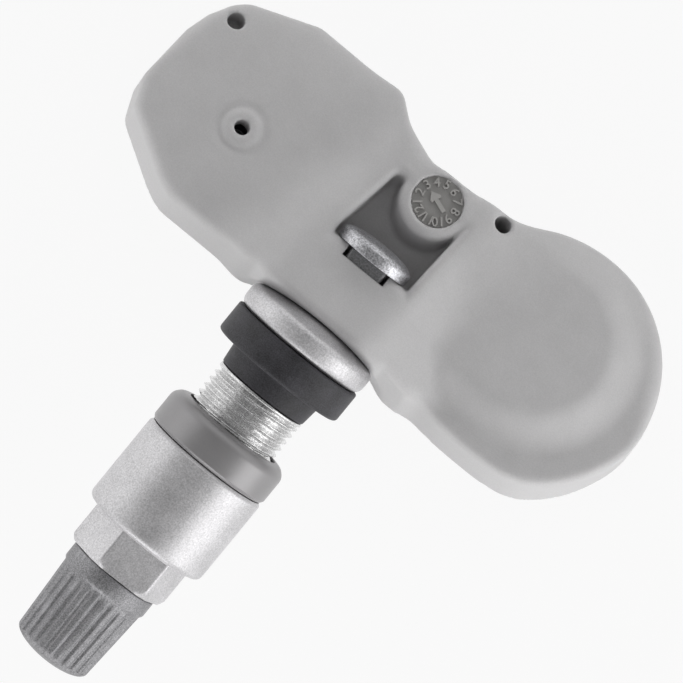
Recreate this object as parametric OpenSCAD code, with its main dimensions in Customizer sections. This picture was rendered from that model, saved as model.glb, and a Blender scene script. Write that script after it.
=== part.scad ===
// Clamp-in tyre pressure sensor: a moulded housing held by one bolt on the round foot of a metal valve.
// The frame is the valve's. The stem runs along Y with the cap towards -Y and the housing towards +Y,
// +Z is up, and the origin is on the stem's axis at the inner face of the wheel rim.

/* [Housing outline] */
// Reach of the electronics lobe to the left of the stem
left_reach = 32; // [31:0.5:36]
// Reach of the lobes behind the pocket's front edge
back_reach = 18.25; // [18:0.25:20]
// Reach of the front wall before the pocket's front edge
front_reach = 7.4; // [7.2:0.1:8]
// Corner radius of the electronics lobe
corner_r = 2.5; // [2.3:0.1:3]
// Distance of the battery lobe's centre to the right of the stem
battery_lobe_x = 20.8; // [20.6:0.2:23]
// Distance of the battery lobe's centre behind the pocket's front edge
battery_lobe_y = 5.5; // [5:0.1:6]
// Radius of the battery lobe at the base
battery_lobe_r = 14.5; // [14.3:0.1:16]
// Depth of the waist behind the pocket's front edge
waist_reach = 14; // [13.6:0.1:15]
// Wall thickness of the housing
wall = 1.4; // [1.2:0.1:1.6]

/* [Housing heights] */
// Height at which the lobes' walls turn into their tops
shoulder_h = 7.6; // [7.5:0.1:8.2]
// Height of the electronics lobe's crown
crown_h = 8.9; // [8.7:0.1:9.8]
// Height of the raised round over the battery
plateau_h = 9.7; // [9.5:0.1:10.6]
// Radius of the raised round's flat top
plateau_r = 9.5; // [9:0.1:10]
// Height of the bridge between the lobes
bridge_h = 12.5; // [12.3:0.1:14]

/* [Housing joint] */
// Angle between the stem and the housing's base
valve_angle = 19; // [17:0.5:21]
// Height at which the stem's axis meets the front wall
axis_h = 7.2; // [6.9:0.1:7.6]
// Distance along the stem from the rim's inner face to the front wall
front_wall_at = 7.1; // [6.9:0.1:7.3]
// Radius of the round seat in the front wall
seat_r = 23; // [22:0.5:26]
// Thickness of the front wall between the seat and the pocket
front_wall_t = 8.4; // [8:0.1:9]
// Swivel of the housing up on the valve's foot
swing_up = 3.2; // [2:0.1:4]
// Swivel of the housing down on the valve's foot
swing_down = 0.2; // [0:0.1:1]
// Clearance between faces that swivel on each other
swivel_gap = 0.1; // [0.05:0.01:0.15]

/* [Pocket] */
// Play of the bolt's head in the pocket's width
pocket_play = 0.5; // [0.3:0.05:0.8]
// Play of the bolt's neck in its slot
slot_play = 0.4; // [0.3:0.05:0.6]
// Distance of the pocket's back wall behind its front edge
pocket_back = 10.6; // [10:0.1:11]
// Radius of the round boss at the pocket's back
boss_r = 4.65; // [4.3:0.05:5]
// Height of the round boss
boss_h = 11.4; // [11:0.1:11.9]
// Radius of the dial's recess in the boss
dial_r = 2.95; // [2.5:0.05:3.4]
// Depth of the dial's recess
dial_depth = 0.3; // [0.2:0.05:0.6]

/* [Openings] */
// Radius of the pressure port
port_r = 0.87; // [0.6:0.01:1]
// Radius of the port's raised cone at its foot
port_cone_r = 2.5; // [2.2:0.1:3]
// Height of the port's raised cone
port_cone_h = 0.4; // [0.2:0.05:0.7]
// Radius of the two locating holes
locating_r = 0.95; // [0.6:0.05:1]
// Depth of the two locating holes
locating_depth = 3; // [2:0.1:3.5]

/* [Electronics] */
// Thickness of the base cover
cover_t = 1.2; // [1:0.1:1.3]
// Height of the ribs that carry the circuit board
rib_h = 0.4; // [0.3:0.05:0.5]
// Thickness of the circuit board
board_t = 0.8; // [0.6:0.1:0.9]
// Radius of the battery cell
cell_r = 10; // [9:0.1:10.2]
// Height of the battery cell
cell_h = 4.8; // [4:0.1:5]
// Thickness of the battery's tabs
tab_t = 0.2; // [0.1:0.05:0.3]
// Width of the battery's tabs
tab_w = 4; // [3:0.5:5]
// Side of the pressure sensor's square case
sensor_w = 5; // [4.4:0.2:6]
// Height of the pressure sensor's case
sensor_h = 1.9; // [1.5:0.1:2.4]
// Side of the control chip
chip_w = 6; // [5:0.5:6]
// Length of the wake-up coil
coil_l = 9; // [7:0.5:10]
// Length of the aerial strip
aerial_l = 11; // [8:0.5:11]

/* [Valve body] */
// Distance from the rim's inner face to the top of the foot's dome
foot_t = 7.9; // [7.7:0.1:8.2]
// Radius of the foot
foot_r = 8.2; // [8:0.1:8.6]
// Distance from the rim's inner face to the foot's flat face
foot_face = 3.75; // [3.5:0.05:3.8]
// Radius of the large thread
thread_r = 5.55; // [5.5:0.05:5.6]
// Distance from the rim's inner face to the end of the large thread
thread_end = 17; // [15:0.5:17]
// Radius of the stem's thread for the cap
stem_r = 3.85; // [3.7:0.05:3.9]
// Distance from the rim's inner face to the stem's mouth
stem_end = 37.4; // [37:0.1:37.6]
// Radius of the neck under the rubber seal
neck_r = 4.3; // [4:0.1:4.5]
// Radius of the air bore
air_r = 1.4; // [1:0.1:1.6]
// Radius of the bore for the valve core
core_bore_r = 2.6; // [2.55:0.05:2.75]
// Radius of the vent that leads out of the foot
vent_r = 0.6; // [0.4:0.05:0.65]

/* [Rubber seal] */
// Radius of the seal's flange
seal_r = 8.15; // [7.8:0.05:8.4]
// Radius of the seal's neck, which sits in the rim's hole
seal_neck_r = 5.65; // [5.6:0.05:5.75]
// Length of the seal's neck
seal_neck = 2.5; // [2:0.1:2.7]

/* [Clamp bolt] */
// Radius of the bolt's head
head_r = 4.55; // [4.3:0.05:4.8]
// Thickness of the head's rim
head_rim = 1.05; // [0.8:0.05:1.3]
// Height of the head's dome above its rim
head_dome = 1.1; // [0.6:0.1:1.4]
// Width of the square neck
square_w = 4.8; // [4.8:0.1:5.2]
// Radius of the bolt's thread
bolt_r = 2.35; // [2:0.05:2.35]
// Length of the bolt's thread in the foot
bolt_grip = 3.3; // [3:0.1:3.3]

/* [Nut and collar] */
// Distance from the rim's inner face to the collar's front
collar_at = 7.6; // [7.5:0.1:8]
// Length of the collar
collar_l = 4.5; // [4:0.1:4.6]
// Radius of the collar and of the nut's sleeve
sleeve_r = 7.65; // [7.5:0.05:8]
// Length of the nut's sleeve
sleeve_l = 10.85; // [10.5:0.05:10.9]
// Width across the flats of the hexagon
hex_w = 11; // [10.8:0.1:12]
// Length of the hexagon
hex_l = 4.8; // [4.5:0.1:4.9]
// Turn of the hexagon about the stem
hex_turn = 10.6; // [0:0.1:30]
// Running clearance of the threads
thread_gap = 0.05; // [0.03:0.01:0.08]

/* [Dust cap] */
// Thickness of the cap's crown over its gasket
cap_crown = 2; // [1.8:0.1:2.8]
// Radius of the cap's plain ring
cap_ring_r = 5.4; // [5.3:0.05:5.6]
// Length of the cap's plain ring
cap_ring_l = 1.9; // [1.5:0.1:3]
// Radius of the fluted part beside the ring
cap_r = 5.15; // [5:0.05:5.25]
// Radius of the fluted part at its end
cap_tip_r = 4.68; // [4.65:0.01:4.9]
// Number of flutes
flutes = 24; // [16:1:30]
// Depth of a flute
flute_depth = 0.28; // [0.15:0.01:0.3]

/* [Valve core] */
// Length of the core's threaded head
core_head = 5.4; // [5:0.1:5.6]
// Radius of the core's barrel
core_barrel_r = 1.7; // [1.6:0.05:1.75]
// Length of the core's barrel
core_barrel = 6.2; // [5.8:0.1:6.6]
// Radius of the core's pin
pin_r = 0.5; // [0.35:0.05:0.5]
// Length of the core's spring at rest
spring_l = 7; // [6:0.1:7.5]
// Turns of the core's spring
spring_turns = 6; // [4:1:8]

/* [Hidden] */

smooth = 96;
blend = 32;
eps = 0.01;
fit_gap = 0.02;
moulded = [0.72, 0.72, 0.71];
metal = [0.78, 0.78, 0.8];
brass = [0.8, 0.68, 0.4];

// Stations along the stem, counted from the rim's inner face towards the cap
ball_r = seat_r - swivel_gap;
ball_at = ball_r - foot_t;
collar_end = collar_at + collar_l;
nut_at = collar_end + swivel_gap;
hex_at = nut_at + sleeve_l;
nut_end = hex_at + hex_l;
cap_at = nut_end + swivel_gap;
gasket_at = stem_end + thread_gap;
gasket_t = 0.7;
cap_end = gasket_at + gasket_t + cap_crown;
cap_l = cap_end - cap_at;
spigot_l = 1;
spigot_r = (thread_r + sleeve_r) / 2;
nut_bore_end = hex_at - 0.8;
core_top = stem_end - 0.8;
core_step = core_top - core_head;
core_low = core_step - core_barrel;
core_taper = 1.4;
spring_seat = core_low + 1;
spring_wire = 0.2;
spring_r = 0.92;
cup_h = 1.5;
collar_travel = nut_bore_end - thread_end - 0.25;

// The bolt, counted from the rim's inner face towards the housing
pocket_r = seat_r + front_wall_t;
head_under_r = pocket_r + swivel_gap;
head_at = head_under_r - ball_at;
head_top = head_at + head_rim + head_dome;
bolt_tip = foot_t - bolt_grip;
chamber_at = bolt_tip - 2;
slot_w = square_w + 2 * slot_play;
slot_up = square_w / 2 + head_under_r * sin(swing_down) + 0.1;
slot_down = square_w / 2 + head_under_r * sin(swing_up) + 0.3;
pocket_floor = head_r + (head_top + ball_at) * sin(swing_up) + 0.2;
pocket_w = head_r + pocket_play;

// Housing outline, in the housing's own frame with its base at z = 0
housing_y = front_reach + front_wall_at * cos(valve_angle);
housing_z = front_wall_at * sin(valve_angle) - axis_h;
front_y = -front_reach;
side_x = corner_r - left_reach;
back_y = back_reach - corner_r;
left_corners = [[-9.3, back_y + 0.75], [side_x + 9.7, back_y + 0.75], [side_x + 3.2, back_y - 1.9],
    [side_x + 0.8, back_y - 4.9], [side_x, front_y + corner_r + 7.3],
    [side_x + 0.9, front_y + corner_r + 5.05], [side_x + 8.9, front_y + corner_r],
    [-7, front_y + corner_r], [-3.6, waist_reach - corner_r + 0.9]];
crown_mid = [-17.4, 4];
left_wall_x = -9.6;
right_wall_x = 13;
plateau_at = [battery_lobe_x - 1.3, battery_lobe_y + 1];
dial_at = [1.6, pocket_back + 0.1];
port_at = [-20, 3.8];
port_cone_top = port_cone_r - 0.9;
port_ring_h = port_cone_h + 0.5;
leg_l = 0.6;
coil_size = 2.8;
coil_at = [left_wall_x - coil_l / 2 - 1.2, 12.5];
capacitor_l = 2;
capacitor_w = 1.2;
capacitor_h = 0.9;
capacitors_at = [for (p = [[-8.4, 4], [-5.8, 4], [-3.2, 4], [-5.8, 2.2], [-3.2, 2.2]])
    [left_wall_x + p.x, front_y + p.y]];
aerial_w = 1;
aerial_h = 3;
aerial_at = [left_wall_x - 2.4 - aerial_l, -0.4];
chip_x = port_at.x + (sensor_w + chip_w) / 2 + leg_l + 0.3;
chip_at = [chip_x, coil_at.y - (coil_size + chip_w) / 2 - 0.4];
crystal_l = 4.8;
crystal_at = [-13.6, chip_at.y - (chip_w + crystal_l) / 2 - 0.4];
locating_at = [[side_x + 2, back_y - 2.95], [8.7, waist_reach - 0.4]];

// Heights inside the housing
rebate = 0.7;
cover_gap = 0.1;
board_gap = 0.3;
draft = 0.4;
board_z = cover_t + rib_h;
board_top = board_z + board_t;
cell_z = board_top + tab_t;
cell_top = cell_z + cell_h;
left_ceiling = shoulder_h - wall + 0.6;
right_ceiling = cell_top + tab_t + board_gap;
tunnel_y = [3.4, pocket_back + 0.2];

// Points of an arc of radius r about c, from angle a0 to angle a1
function arc(c, r, a0, a1, n = 6) =
    [for (i = [0:n]) let (a = a0 + (a1 - a0) * i / n) [c.x + r * cos(a), c.y + r * sin(a)]];

// Places the housing's own frame on the valve
module housed() {
    rotate([-valve_angle, 0, 0])
        translate([0, housing_y, housing_z])
            children();
}

// A turned piece, as points of radius and station
module turned(profile) {
    rotate([90, 0, 0])
        rotate_extrude($fn = smooth)
            polygon(profile);
}

// A round rod along the stem between two stations
module rod(r, from, to, sides = smooth) {
    rotate([90, 0, 0])
        translate([0, 0, from])
            cylinder(r = r, h = to - from, $fn = sides);
}

// A ball about the centre on which the housing swivels
module ball(r) {
    translate([0, -ball_at, 0])
        sphere(r = r, $fn = smooth);
}

// Rounded corners of the electronics lobe
module lobe_rounds(extra) {
    for (c = left_corners)
        translate(c)
            circle(r = corner_r + extra, $fn = blend);
}

// Electronics lobe: steep walls, a narrow shoulder in front and a broad one behind, and a low crown.
// Each level gives a height, how far the outline is drawn in, and how far it moves to the front
module electronics_lobe() {
    levels = [[1, 0.05, 0], [shoulder_h - 2.4, 0.2, 0], [shoulder_h - 0.9, 0.6, 0.35],
        [shoulder_h - 0.35, 1.1, 0.45], [shoulder_h, 1.8, 0.5]];
    hull() {
        for (l = levels)
            translate([0, -l[2], 0])
                linear_extrude(l[0])
                    lobe_rounds(-l[1]);
        linear_extrude(crown_h)
            polygon([for (c = left_corners) crown_mid + (c - crown_mid) * 0.6]);
    }
}

// Battery lobe: a turned form with a raised round over the cell
module battery_lobe() {
    edge = 1.5;
    top_r = battery_lobe_r - 1.1;
    translate([battery_lobe_x, battery_lobe_y, 0])
        rotate_extrude($fn = smooth)
            polygon(concat([[0, 0], [battery_lobe_r, 0]],
                arc([top_r - edge, shoulder_h - edge], edge, 5, 80),
                [[0, shoulder_h + 0.7]]));
    translate([plateau_at.x, plateau_at.y, shoulder_h - 0.2])
        rotate_extrude($fn = smooth)
            polygon(concat([[0, 0], [plateau_r + 3.2, 0]],
                arc([plateau_r - 1, plateau_h - shoulder_h - 0.8], 1, 55, 90, 4),
                [[0, plateau_h - shoulder_h + 0.2]]));
}

// Raised bridge between the lobes, with a broad foot and rounded upper edges
module bridge() {
    edge = 0.8;
    foot = [[-15.5, front_y - 0.5], [16.5, front_y - 0.5], [13.8, 0], [13, waist_reach - 1],
        [9.3, waist_reach + 1], [5, waist_reach + 0.3], [-4, waist_reach + 0.3], [-9, waist_reach + 2],
        [-12, 6], [-12.6, 0]];
    ridge = [[-6.3, front_y + edge, bridge_h], [4.6, front_y + edge, bridge_h], [5.4, 3, bridge_h],
        [7, waist_reach - 2.6, boss_h], [2.5, waist_reach - edge - 0.6, boss_h],
        [-4.6, waist_reach - edge - 0.6, boss_h], [-5.9, 3, bridge_h]];
    hull() {
        linear_extrude(shoulder_h - 0.6)
            polygon(foot);
        for (c = ridge)
            translate([c.x, c.y, c.z - edge])
                sphere(r = edge, $fn = 24);
    }
}

// Pocket for the bolt's head, with a front wall that is round about the swivel's centre
module pocket() {
    slant = 1.3;
    plan = [[-pocket_w, -3], [pocket_w, -3], [pocket_w + slant / 2, pocket_back + 1],
        [slant - pocket_w, pocket_back], [-pocket_w, 2.5]];
    difference() {
        intersection() {
            housed()
                linear_extrude(40)
                    polygon(plan);
            translate([-30, 0, -pocket_floor])
                cube([60, 60, 60]);
        }
        ball(pocket_r);
    }
}

// Plan of the hollow in the two lobes, grown by extra, for the board, the cover and the cavities
module lobes_plan(extra) {
    intersection() {
        hull()
            lobe_rounds(extra - wall - draft);
        translate([left_wall_x + extra - 60, -30])
            square([60, 60]);
    }
    intersection() {
        translate([battery_lobe_x, battery_lobe_y])
            circle(r = battery_lobe_r - wall - 1.1 + extra, $fn = smooth);
        translate([0, front_y + wall + draft - extra])
            square([60, 60]);
    }
    translate([left_wall_x - 1, tunnel_y[0] - extra])
        square([right_wall_x - left_wall_x + 1, tunnel_y[1] - tunnel_y[0] + 2 * extra]);
}

// Room above the board: one in each lobe, with a boss left round the locating hole
module cavities() {
    translate([0, 0, board_top - eps])
        linear_extrude(left_ceiling - board_top + eps)
            difference() {
                intersection() {
                    lobes_plan(0);
                    translate([left_wall_x - 60, -30])
                        square([60, back_reach + 25.8]);
                }
                translate(locating_at[0])
                    circle(r = locating_r + 1, $fn = smooth);
            }
    translate([plateau_at.x, plateau_at.y, board_top - eps]) {
        cylinder(r = cell_r + board_gap, h = right_ceiling - board_top + eps, $fn = smooth);
        translate([-cell_r - 1, -tab_w / 2 - board_gap, 0])
            cube([3, tab_w + 2 * board_gap, right_ceiling - board_top + eps]);
    }
}

module housing_shell() {
    color(moulded)
        difference() {
            union() {
                difference() {
                    housed() {
                        electronics_lobe();
                        intersection() {
                            union() {
                                battery_lobe();
                                bridge();
                            }
                            translate([-left_reach, front_y, 0])
                                cube([3 * left_reach, 2 * left_reach, left_reach]);
                        }
                        translate([port_at.x, port_at.y, crown_h - 0.5])
                            cylinder(r1 = port_cone_r, r2 = port_cone_top, h = port_ring_h, $fn = smooth);
                    }
                    pocket();
                }
                housed()
                    intersection() {
                        translate([dial_at.x, dial_at.y, board_top + 1])
                            cylinder(r = boss_r, h = boss_h - board_top - 1, $fn = smooth);
                        translate([-20, -20, 0])
                            cube([40, 20 + waist_reach - 0.5, 30]);
                    }
            }
            ball(seat_r);
            translate([-slot_w / 2, 0, -slot_down])
                cube([slot_w, head_at + 0.5, slot_down + slot_up]);
            housed() {
                translate([0, 0, -1])
                    linear_extrude(cover_t + 1)
                        lobes_plan(rebate);
                translate([0, 0, cover_t - eps])
                    linear_extrude(board_top + board_gap - cover_t + eps)
                        lobes_plan(0);
                cavities();
                translate([dial_at.x, dial_at.y, boss_h])
                    cylinder(r = boss_r, h = 10, $fn = smooth);
                translate([dial_at.x, dial_at.y, boss_h - dial_depth])
                    cylinder(r = dial_r, h = 10, $fn = smooth);
                translate([port_at.x, port_at.y, board_top])
                    cylinder(r = port_r, h = 20, $fn = smooth);
                for (p = locating_at)
                    translate([p.x, p.y, shoulder_h - locating_depth])
                        cylinder(r = locating_r, h = 10, $fn = smooth);
            }
        }
}

module base_cover() {
    rib_x = [side_x + 2.5, left_wall_x - 3.9, plateau_at.x - 7.9, plateau_at.x + 10];
    color([0.62, 0.62, 0.61])
        housed() {
            linear_extrude(cover_t)
                lobes_plan(rebate - cover_gap);
            for (x = rib_x)
                translate([x, 4, cover_t - eps])
                    cube([1.2, 5, rib_h + eps]);
        }
}

module circuit_board() {
    color([0.1, 0.35, 0.2])
        housed()
            translate([0, 0, board_z])
                linear_extrude(board_t)
                    lobes_plan(-board_gap);
}

module battery_cell() {
    lip = 0.6;
    color([0.82, 0.82, 0.84])
        housed()
            translate([plateau_at.x, plateau_at.y, cell_z])
                rotate_extrude($fn = smooth)
                    polygon([[0, 0], [cell_r - 2 * lip, 0], [cell_r - 1.5 * lip, lip / 2],
                        [cell_r - lip / 2, lip / 2], [cell_r, lip], [cell_r, cell_h - lip / 2],
                        [cell_r - lip / 2, cell_h], [0, cell_h]]);
}

module battery_tab_top() {
    leg_x = -cell_r - 0.3 - tab_t;
    color(metal)
        housed()
            translate([plateau_at.x, plateau_at.y, 0]) {
                translate([leg_x, -tab_w / 2, cell_top])
                    cube([cell_r + 3, tab_w, tab_t]);
                translate([leg_x, -tab_w / 2, board_top])
                    cube([tab_t, tab_w, cell_top + tab_t - board_top]);
            }
}

module battery_tab_base() {
    color(metal)
        housed()
            translate([plateau_at.x - 3, plateau_at.y - tab_w / 2, board_top])
                cube([cell_r + 1, tab_w, tab_t]);
}

module pressure_sensor() {
    color([0.75, 0.75, 0.76])
        housed()
            translate([port_at.x, port_at.y, board_top])
                difference() {
                    translate([-sensor_w / 2, -sensor_w / 2, 0])
                        cube([sensor_w, sensor_w, sensor_h]);
                    translate([0, 0, sensor_h - 0.8])
                        cylinder(r = port_r, h = 2, $fn = smooth);
                }
}

module port_seal() {
    color([0.15, 0.15, 0.16])
        housed()
            translate([port_at.x, port_at.y, board_top + sensor_h])
                difference() {
                    cylinder(r = sensor_w / 2 - 0.3, h = left_ceiling - board_top - sensor_h, $fn = smooth);
                    translate([0, 0, -1])
                        cylinder(r = port_r + 0.1, h = 20, $fn = smooth);
                }
}

module control_chip() {
    legs = 8;
    pitch = 0.65;
    color([0.12, 0.12, 0.13])
        housed()
            translate([chip_at.x, chip_at.y, board_top]) {
                translate([-chip_w / 2, -chip_w / 2, 0.1])
                    cube([chip_w, chip_w, 1]);
                for (i = [0:legs - 1])
                    translate([-chip_w / 2 - leg_l, (i - (legs - 1) / 2) * pitch - 0.15, 0])
                        cube([chip_w + 2 * leg_l, 0.3, 0.2]);
            }
}

module crystal() {
    color([0.8, 0.78, 0.7])
        housed()
            translate([crystal_at.x, crystal_at.y, board_top])
                linear_extrude(1.2)
                    hull()
                        for (y = [1.2 - crystal_l / 2, crystal_l / 2 - 1.2])
                            translate([0, y])
                                circle(r = 1.2, $fn = blend);
}

// Ferrite core with end flanges and a copper winding
module wake_up_coil() {
    flange = 0.9;
    color([0.55, 0.33, 0.18])
        housed()
            translate([coil_at.x, coil_at.y, board_top]) {
                for (x = [-coil_l / 2, coil_l / 2 - flange])
                    translate([x, -coil_size / 2, 0])
                        cube([flange, coil_size, coil_size]);
                translate([-coil_l / 2, 0, coil_size / 2])
                    rotate([0, 90, 0])
                        cylinder(r = coil_size / 2 - 0.2, h = coil_l, $fn = smooth);
            }
}

module capacitors() {
    color([0.66, 0.56, 0.42])
        housed()
            for (p = capacitors_at)
                translate([p.x, p.y, board_top])
                    cube([capacitor_l, capacitor_w, capacitor_h]);
}

// Bent strip that stands on the board as the radio's aerial
module aerial_strip() {
    strip = 0.4;
    color(brass)
        housed()
            translate([aerial_at.x, aerial_at.y, board_top]) {
                for (x = [0, aerial_l - strip])
                    translate([x, 0, 0])
                        cube([strip, aerial_w, aerial_h]);
                translate([0, 0, aerial_h - strip])
                    cube([aerial_l, aerial_w, strip]);
            }
}

module valve_body() {
    round_r = 1.5;
    chamfer = 0.4;
    foot_mid = (ball_r * cos(asin(foot_r / ball_r)) - ball_at + foot_face + round_r) / 2;
    vent_at = foot_face + 1.35 * vent_r;
    color(metal)
        difference() {
            union() {
                intersection() {
                    turned(concat([[0, -foot_t - 1], [foot_r, -foot_t - 1]],
                        arc([foot_r - round_r, -foot_face - round_r], round_r, 0, 90),
                        [[0, -foot_face]]));
                    ball(ball_r);
                }
                turned([[0, -foot_face - 1], [neck_r, -foot_face - 1], [neck_r, seal_neck + fit_gap],
                    [thread_r - chamfer, seal_neck + fit_gap], [thread_r, seal_neck + chamfer],
                    [thread_r, thread_end - chamfer], [thread_r - chamfer, thread_end], [stem_r, thread_end],
                    [stem_r, stem_end - chamfer], [stem_r - chamfer, stem_end], [0, stem_end]]);
            }
            turned([[0, -chamber_at - 1], [air_r, -chamber_at - 1], [air_r, core_low - cup_h - 3],
                [core_bore_r - 0.6, core_low - cup_h - 2.5], [core_bore_r - 0.6, core_step - core_taper],
                [core_bore_r, core_step], [core_bore_r, stem_end - 0.3], [core_bore_r + 0.35, stem_end + eps],
                [0, stem_end + eps]]);
            rod(bolt_r + thread_gap, -foot_t - 1, -chamber_at);
            translate([0, bolt_tip - 1.5, 0])
                rotate([180 + atan2(foot_mid - bolt_tip + 1.5, foot_r), 0, 0])
                    cylinder(r = vent_r, h = foot_r + 3, $fn = smooth);
        }
}

module rim_seal() {
    edge = 0.3;
    color([0.16, 0.16, 0.18])
        turned([[neck_r + fit_gap, -foot_face], [seal_r - edge, -foot_face], [seal_r, edge - foot_face],
            [seal_r, -edge], [seal_r - edge, 0], [seal_neck_r, 0], [seal_neck_r, seal_neck - edge],
            [seal_neck_r - edge, seal_neck], [neck_r + fit_gap, seal_neck]]);
}

module clamp_bolt() {
    dome_base = head_r - 0.15;
    dome_r = (dome_base * dome_base + head_dome * head_dome) / (2 * head_dome);
    dome_half = asin(dome_base / dome_r);
    color([0.7, 0.71, 0.74]) {
        difference() {
            turned(concat([[0, -head_at + 1], [head_r, -head_at + 1], [head_r, -head_top + head_dome + 0.15]],
                arc([0, dome_r - head_top], dome_r, dome_half - 90, -90, 8)));
            ball(head_under_r);
        }
        translate([-square_w / 2, foot_t + 2, -square_w / 2])
            cube([square_w, head_at + 0.3 - foot_t - 2, square_w]);
        rod(bolt_r, -foot_t - 2.1, -bolt_tip);
    }
}

module collar_ring() {
    edge = 1.3;
    bore = thread_r + 0.35;
    color([0.5, 0.5, 0.49])
        turned(concat([[bore, collar_at]],
            arc([sleeve_r - edge, collar_at + edge], edge, -90, 0),
            [[sleeve_r, collar_end - 0.2], [sleeve_r - 0.2, collar_end], [spigot_r, collar_end],
                [spigot_r, collar_end + spigot_l], [bore, collar_end + spigot_l]]));
}

module union_nut() {
    edge = 0.8;
    corner = hex_w / 2 / cos(30);
    color(metal)
        difference() {
            union() {
                turned(concat([[0, nut_at], [sleeve_r - 0.25, nut_at], [sleeve_r, nut_at + 0.25]],
                    arc([sleeve_r - edge, hex_at - edge], edge, 0, 90),
                    [[0, hex_at]]));
                intersection() {
                    rotate([0, hex_turn, 0])
                        rod(corner, hex_at - 1, nut_end, 6);
                    turned([[0, hex_at - 1], [corner, hex_at - 1], [corner, nut_end - 0.55],
                        [hex_w / 2 - 0.25, nut_end], [0, nut_end]]);
                }
            }
            rod(spigot_r + swivel_gap, nut_at - 1, nut_at + spigot_l);
            rod(thread_r + thread_gap, nut_at - 1, nut_bore_end);
            rod(stem_r + 0.3, nut_at, nut_end + 1);
        }
}

module dust_cap() {
    step = 0.25;
    dome_h = 1.55;
    shoulder = cap_end - dome_h;
    dome_r = (cap_tip_r * cap_tip_r + dome_h * dome_h) / (2 * dome_h);
    dome_half = asin(cap_tip_r / dome_r);
    taper = atan2(cap_r - cap_tip_r, shoulder - cap_at - cap_ring_l);
    flute_r = 0.42;
    color([0.42, 0.42, 0.43])
        difference() {
            turned(concat([[0, cap_at], [cap_ring_r - step, cap_at], [cap_ring_r, cap_at + step],
                [cap_ring_r, cap_at + cap_ring_l], [cap_r, cap_at + cap_ring_l + step]],
                arc([0, cap_end - dome_r], dome_r, 90 - dome_half, 90, 8)));
            turned([[0, cap_at - 1], [stem_r + 0.5, cap_at - 1], [stem_r + 0.5, cap_at + 0.6],
                [stem_r + thread_gap, cap_at + 1.1], [stem_r + thread_gap, gasket_at + gasket_t + swivel_gap],
                [0, gasket_at + gasket_t + swivel_gap]]);
            for (i = [0:flutes - 1])
                rotate([0, i * 360 / flutes, 0])
                    translate([cap_r + flute_r - flute_depth, -cap_at - cap_ring_l - step, 0])
                        rotate([90, 0, -taper])
                            cylinder(r = flute_r, h = cap_l, $fn = blend);
        }
}

module cap_gasket() {
    color([0.12, 0.12, 0.13])
        turned([[1.4, gasket_at], [stem_r - 0.15, gasket_at], [stem_r - 0.15, gasket_at + gasket_t],
            [1.4, gasket_at + gasket_t]]);
}

module core_body() {
    head = core_bore_r - thread_gap;
    guide = pin_r + 0.1;
    color(brass)
        turned([[guide, core_low], [core_barrel_r, core_low], [core_barrel_r, core_step],
            [head - 0.2, core_step], [head, core_step + 0.2], [head, core_top - 0.2],
            [head - 0.2, core_top], [guide, core_top],
            [guide, core_top - 1.4], [spring_r + 0.3, core_top - 1.4], [spring_r + 0.3, spring_seat],
            [guide, spring_seat]]);
}

module core_seal() {
    bore = core_barrel_r + fit_gap;
    color([0.1, 0.1, 0.1])
        turned([[bore, core_step - core_taper], [core_bore_r - 0.6 - thread_gap, core_step - core_taper],
            [core_bore_r - thread_gap, core_step - fit_gap], [bore, core_step - fit_gap]]);
}

module core_pin() {
    color(brass)
        turned([[0, core_low - cup_h + 0.2], [pin_r, core_low - cup_h + 0.2], [pin_r, spring_seat + spring_l],
            [spring_r + 0.15, spring_seat + spring_l], [spring_r + 0.15, spring_seat + spring_l + 0.5],
            [pin_r, spring_seat + spring_l + 0.5], [pin_r, core_top + 0.4], [pin_r - 0.1, core_top + 0.5],
            [0, core_top + 0.5]]);
}

module pin_cup() {
    color([0.2, 0.2, 0.2])
        turned([[pin_r + fit_gap, core_low - cup_h], [core_barrel_r - 0.3, core_low - cup_h],
            [core_barrel_r - 0.1, core_low - cup_h + 0.3], [core_barrel_r - 0.1, core_low - 0.1],
            [pin_r + fit_gap, core_low - 0.1]]);
}

// Round wire wound along the stem: rings of points about the coil's centre line, joined into one skin
module core_spring() {
    steps = 14;
    sides = 6;
    rings = spring_turns * steps;
    rise = spring_l - 2 * spring_wire - 0.1;
    low = spring_seat + spring_wire + 0.05;
    points = [for (i = [0:rings]) let (a = 360 * i / steps, y = low + rise * i / rings)
        for (k = [0:sides - 1]) let (b = 360 * k / sides, q = spring_r + spring_wire * cos(b))
            [q * cos(a), q * sin(a), y + spring_wire * sin(b)]];
    skin = [for (i = [0:rings - 1]) for (k = [0:sides - 1])
        [i * sides + k, (i + 1) * sides + k, (i + 1) * sides + (k + 1) % sides, i * sides + (k + 1) % sides]];
    ends = [[for (k = [0:sides - 1]) k], [for (k = [0:sides - 1]) rings * sides + sides - 1 - k]];
    color(metal)
        rotate([90, 0, 0])
            polyhedron(points, concat(skin, ends));
}

housing_shell();
base_cover();
circuit_board();
battery_cell();
battery_tab_top();
battery_tab_base();
pressure_sensor();
port_seal();
control_chip();
crystal();
wake_up_coil();
capacitors();
aerial_strip();
valve_body();
rim_seal();
clamp_bolt();
collar_ring();
union_nut();
dust_cap();
cap_gasket();
core_body();
core_seal();
core_pin();
pin_cup();
core_spring();
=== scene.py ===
"""Looks of a clamp-in tyre pressure sensor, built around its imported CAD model.

Sizes are in millimetres and angles in degrees, and meshes are written in metres. Every round piece is
turned about the valve's stem. Its profile gives radii and stations, and a station is a distance from the
wheel rim's inner face towards the cap, so the point at radius r, angle a and station s is
(-r sin a, -s, r cos a). The housing has its own frame, whose base lies at z = 0.
"""

import logging
import math
from dataclasses import dataclass
from enum import Enum
from typing import Any, Callable, Sequence

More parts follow.
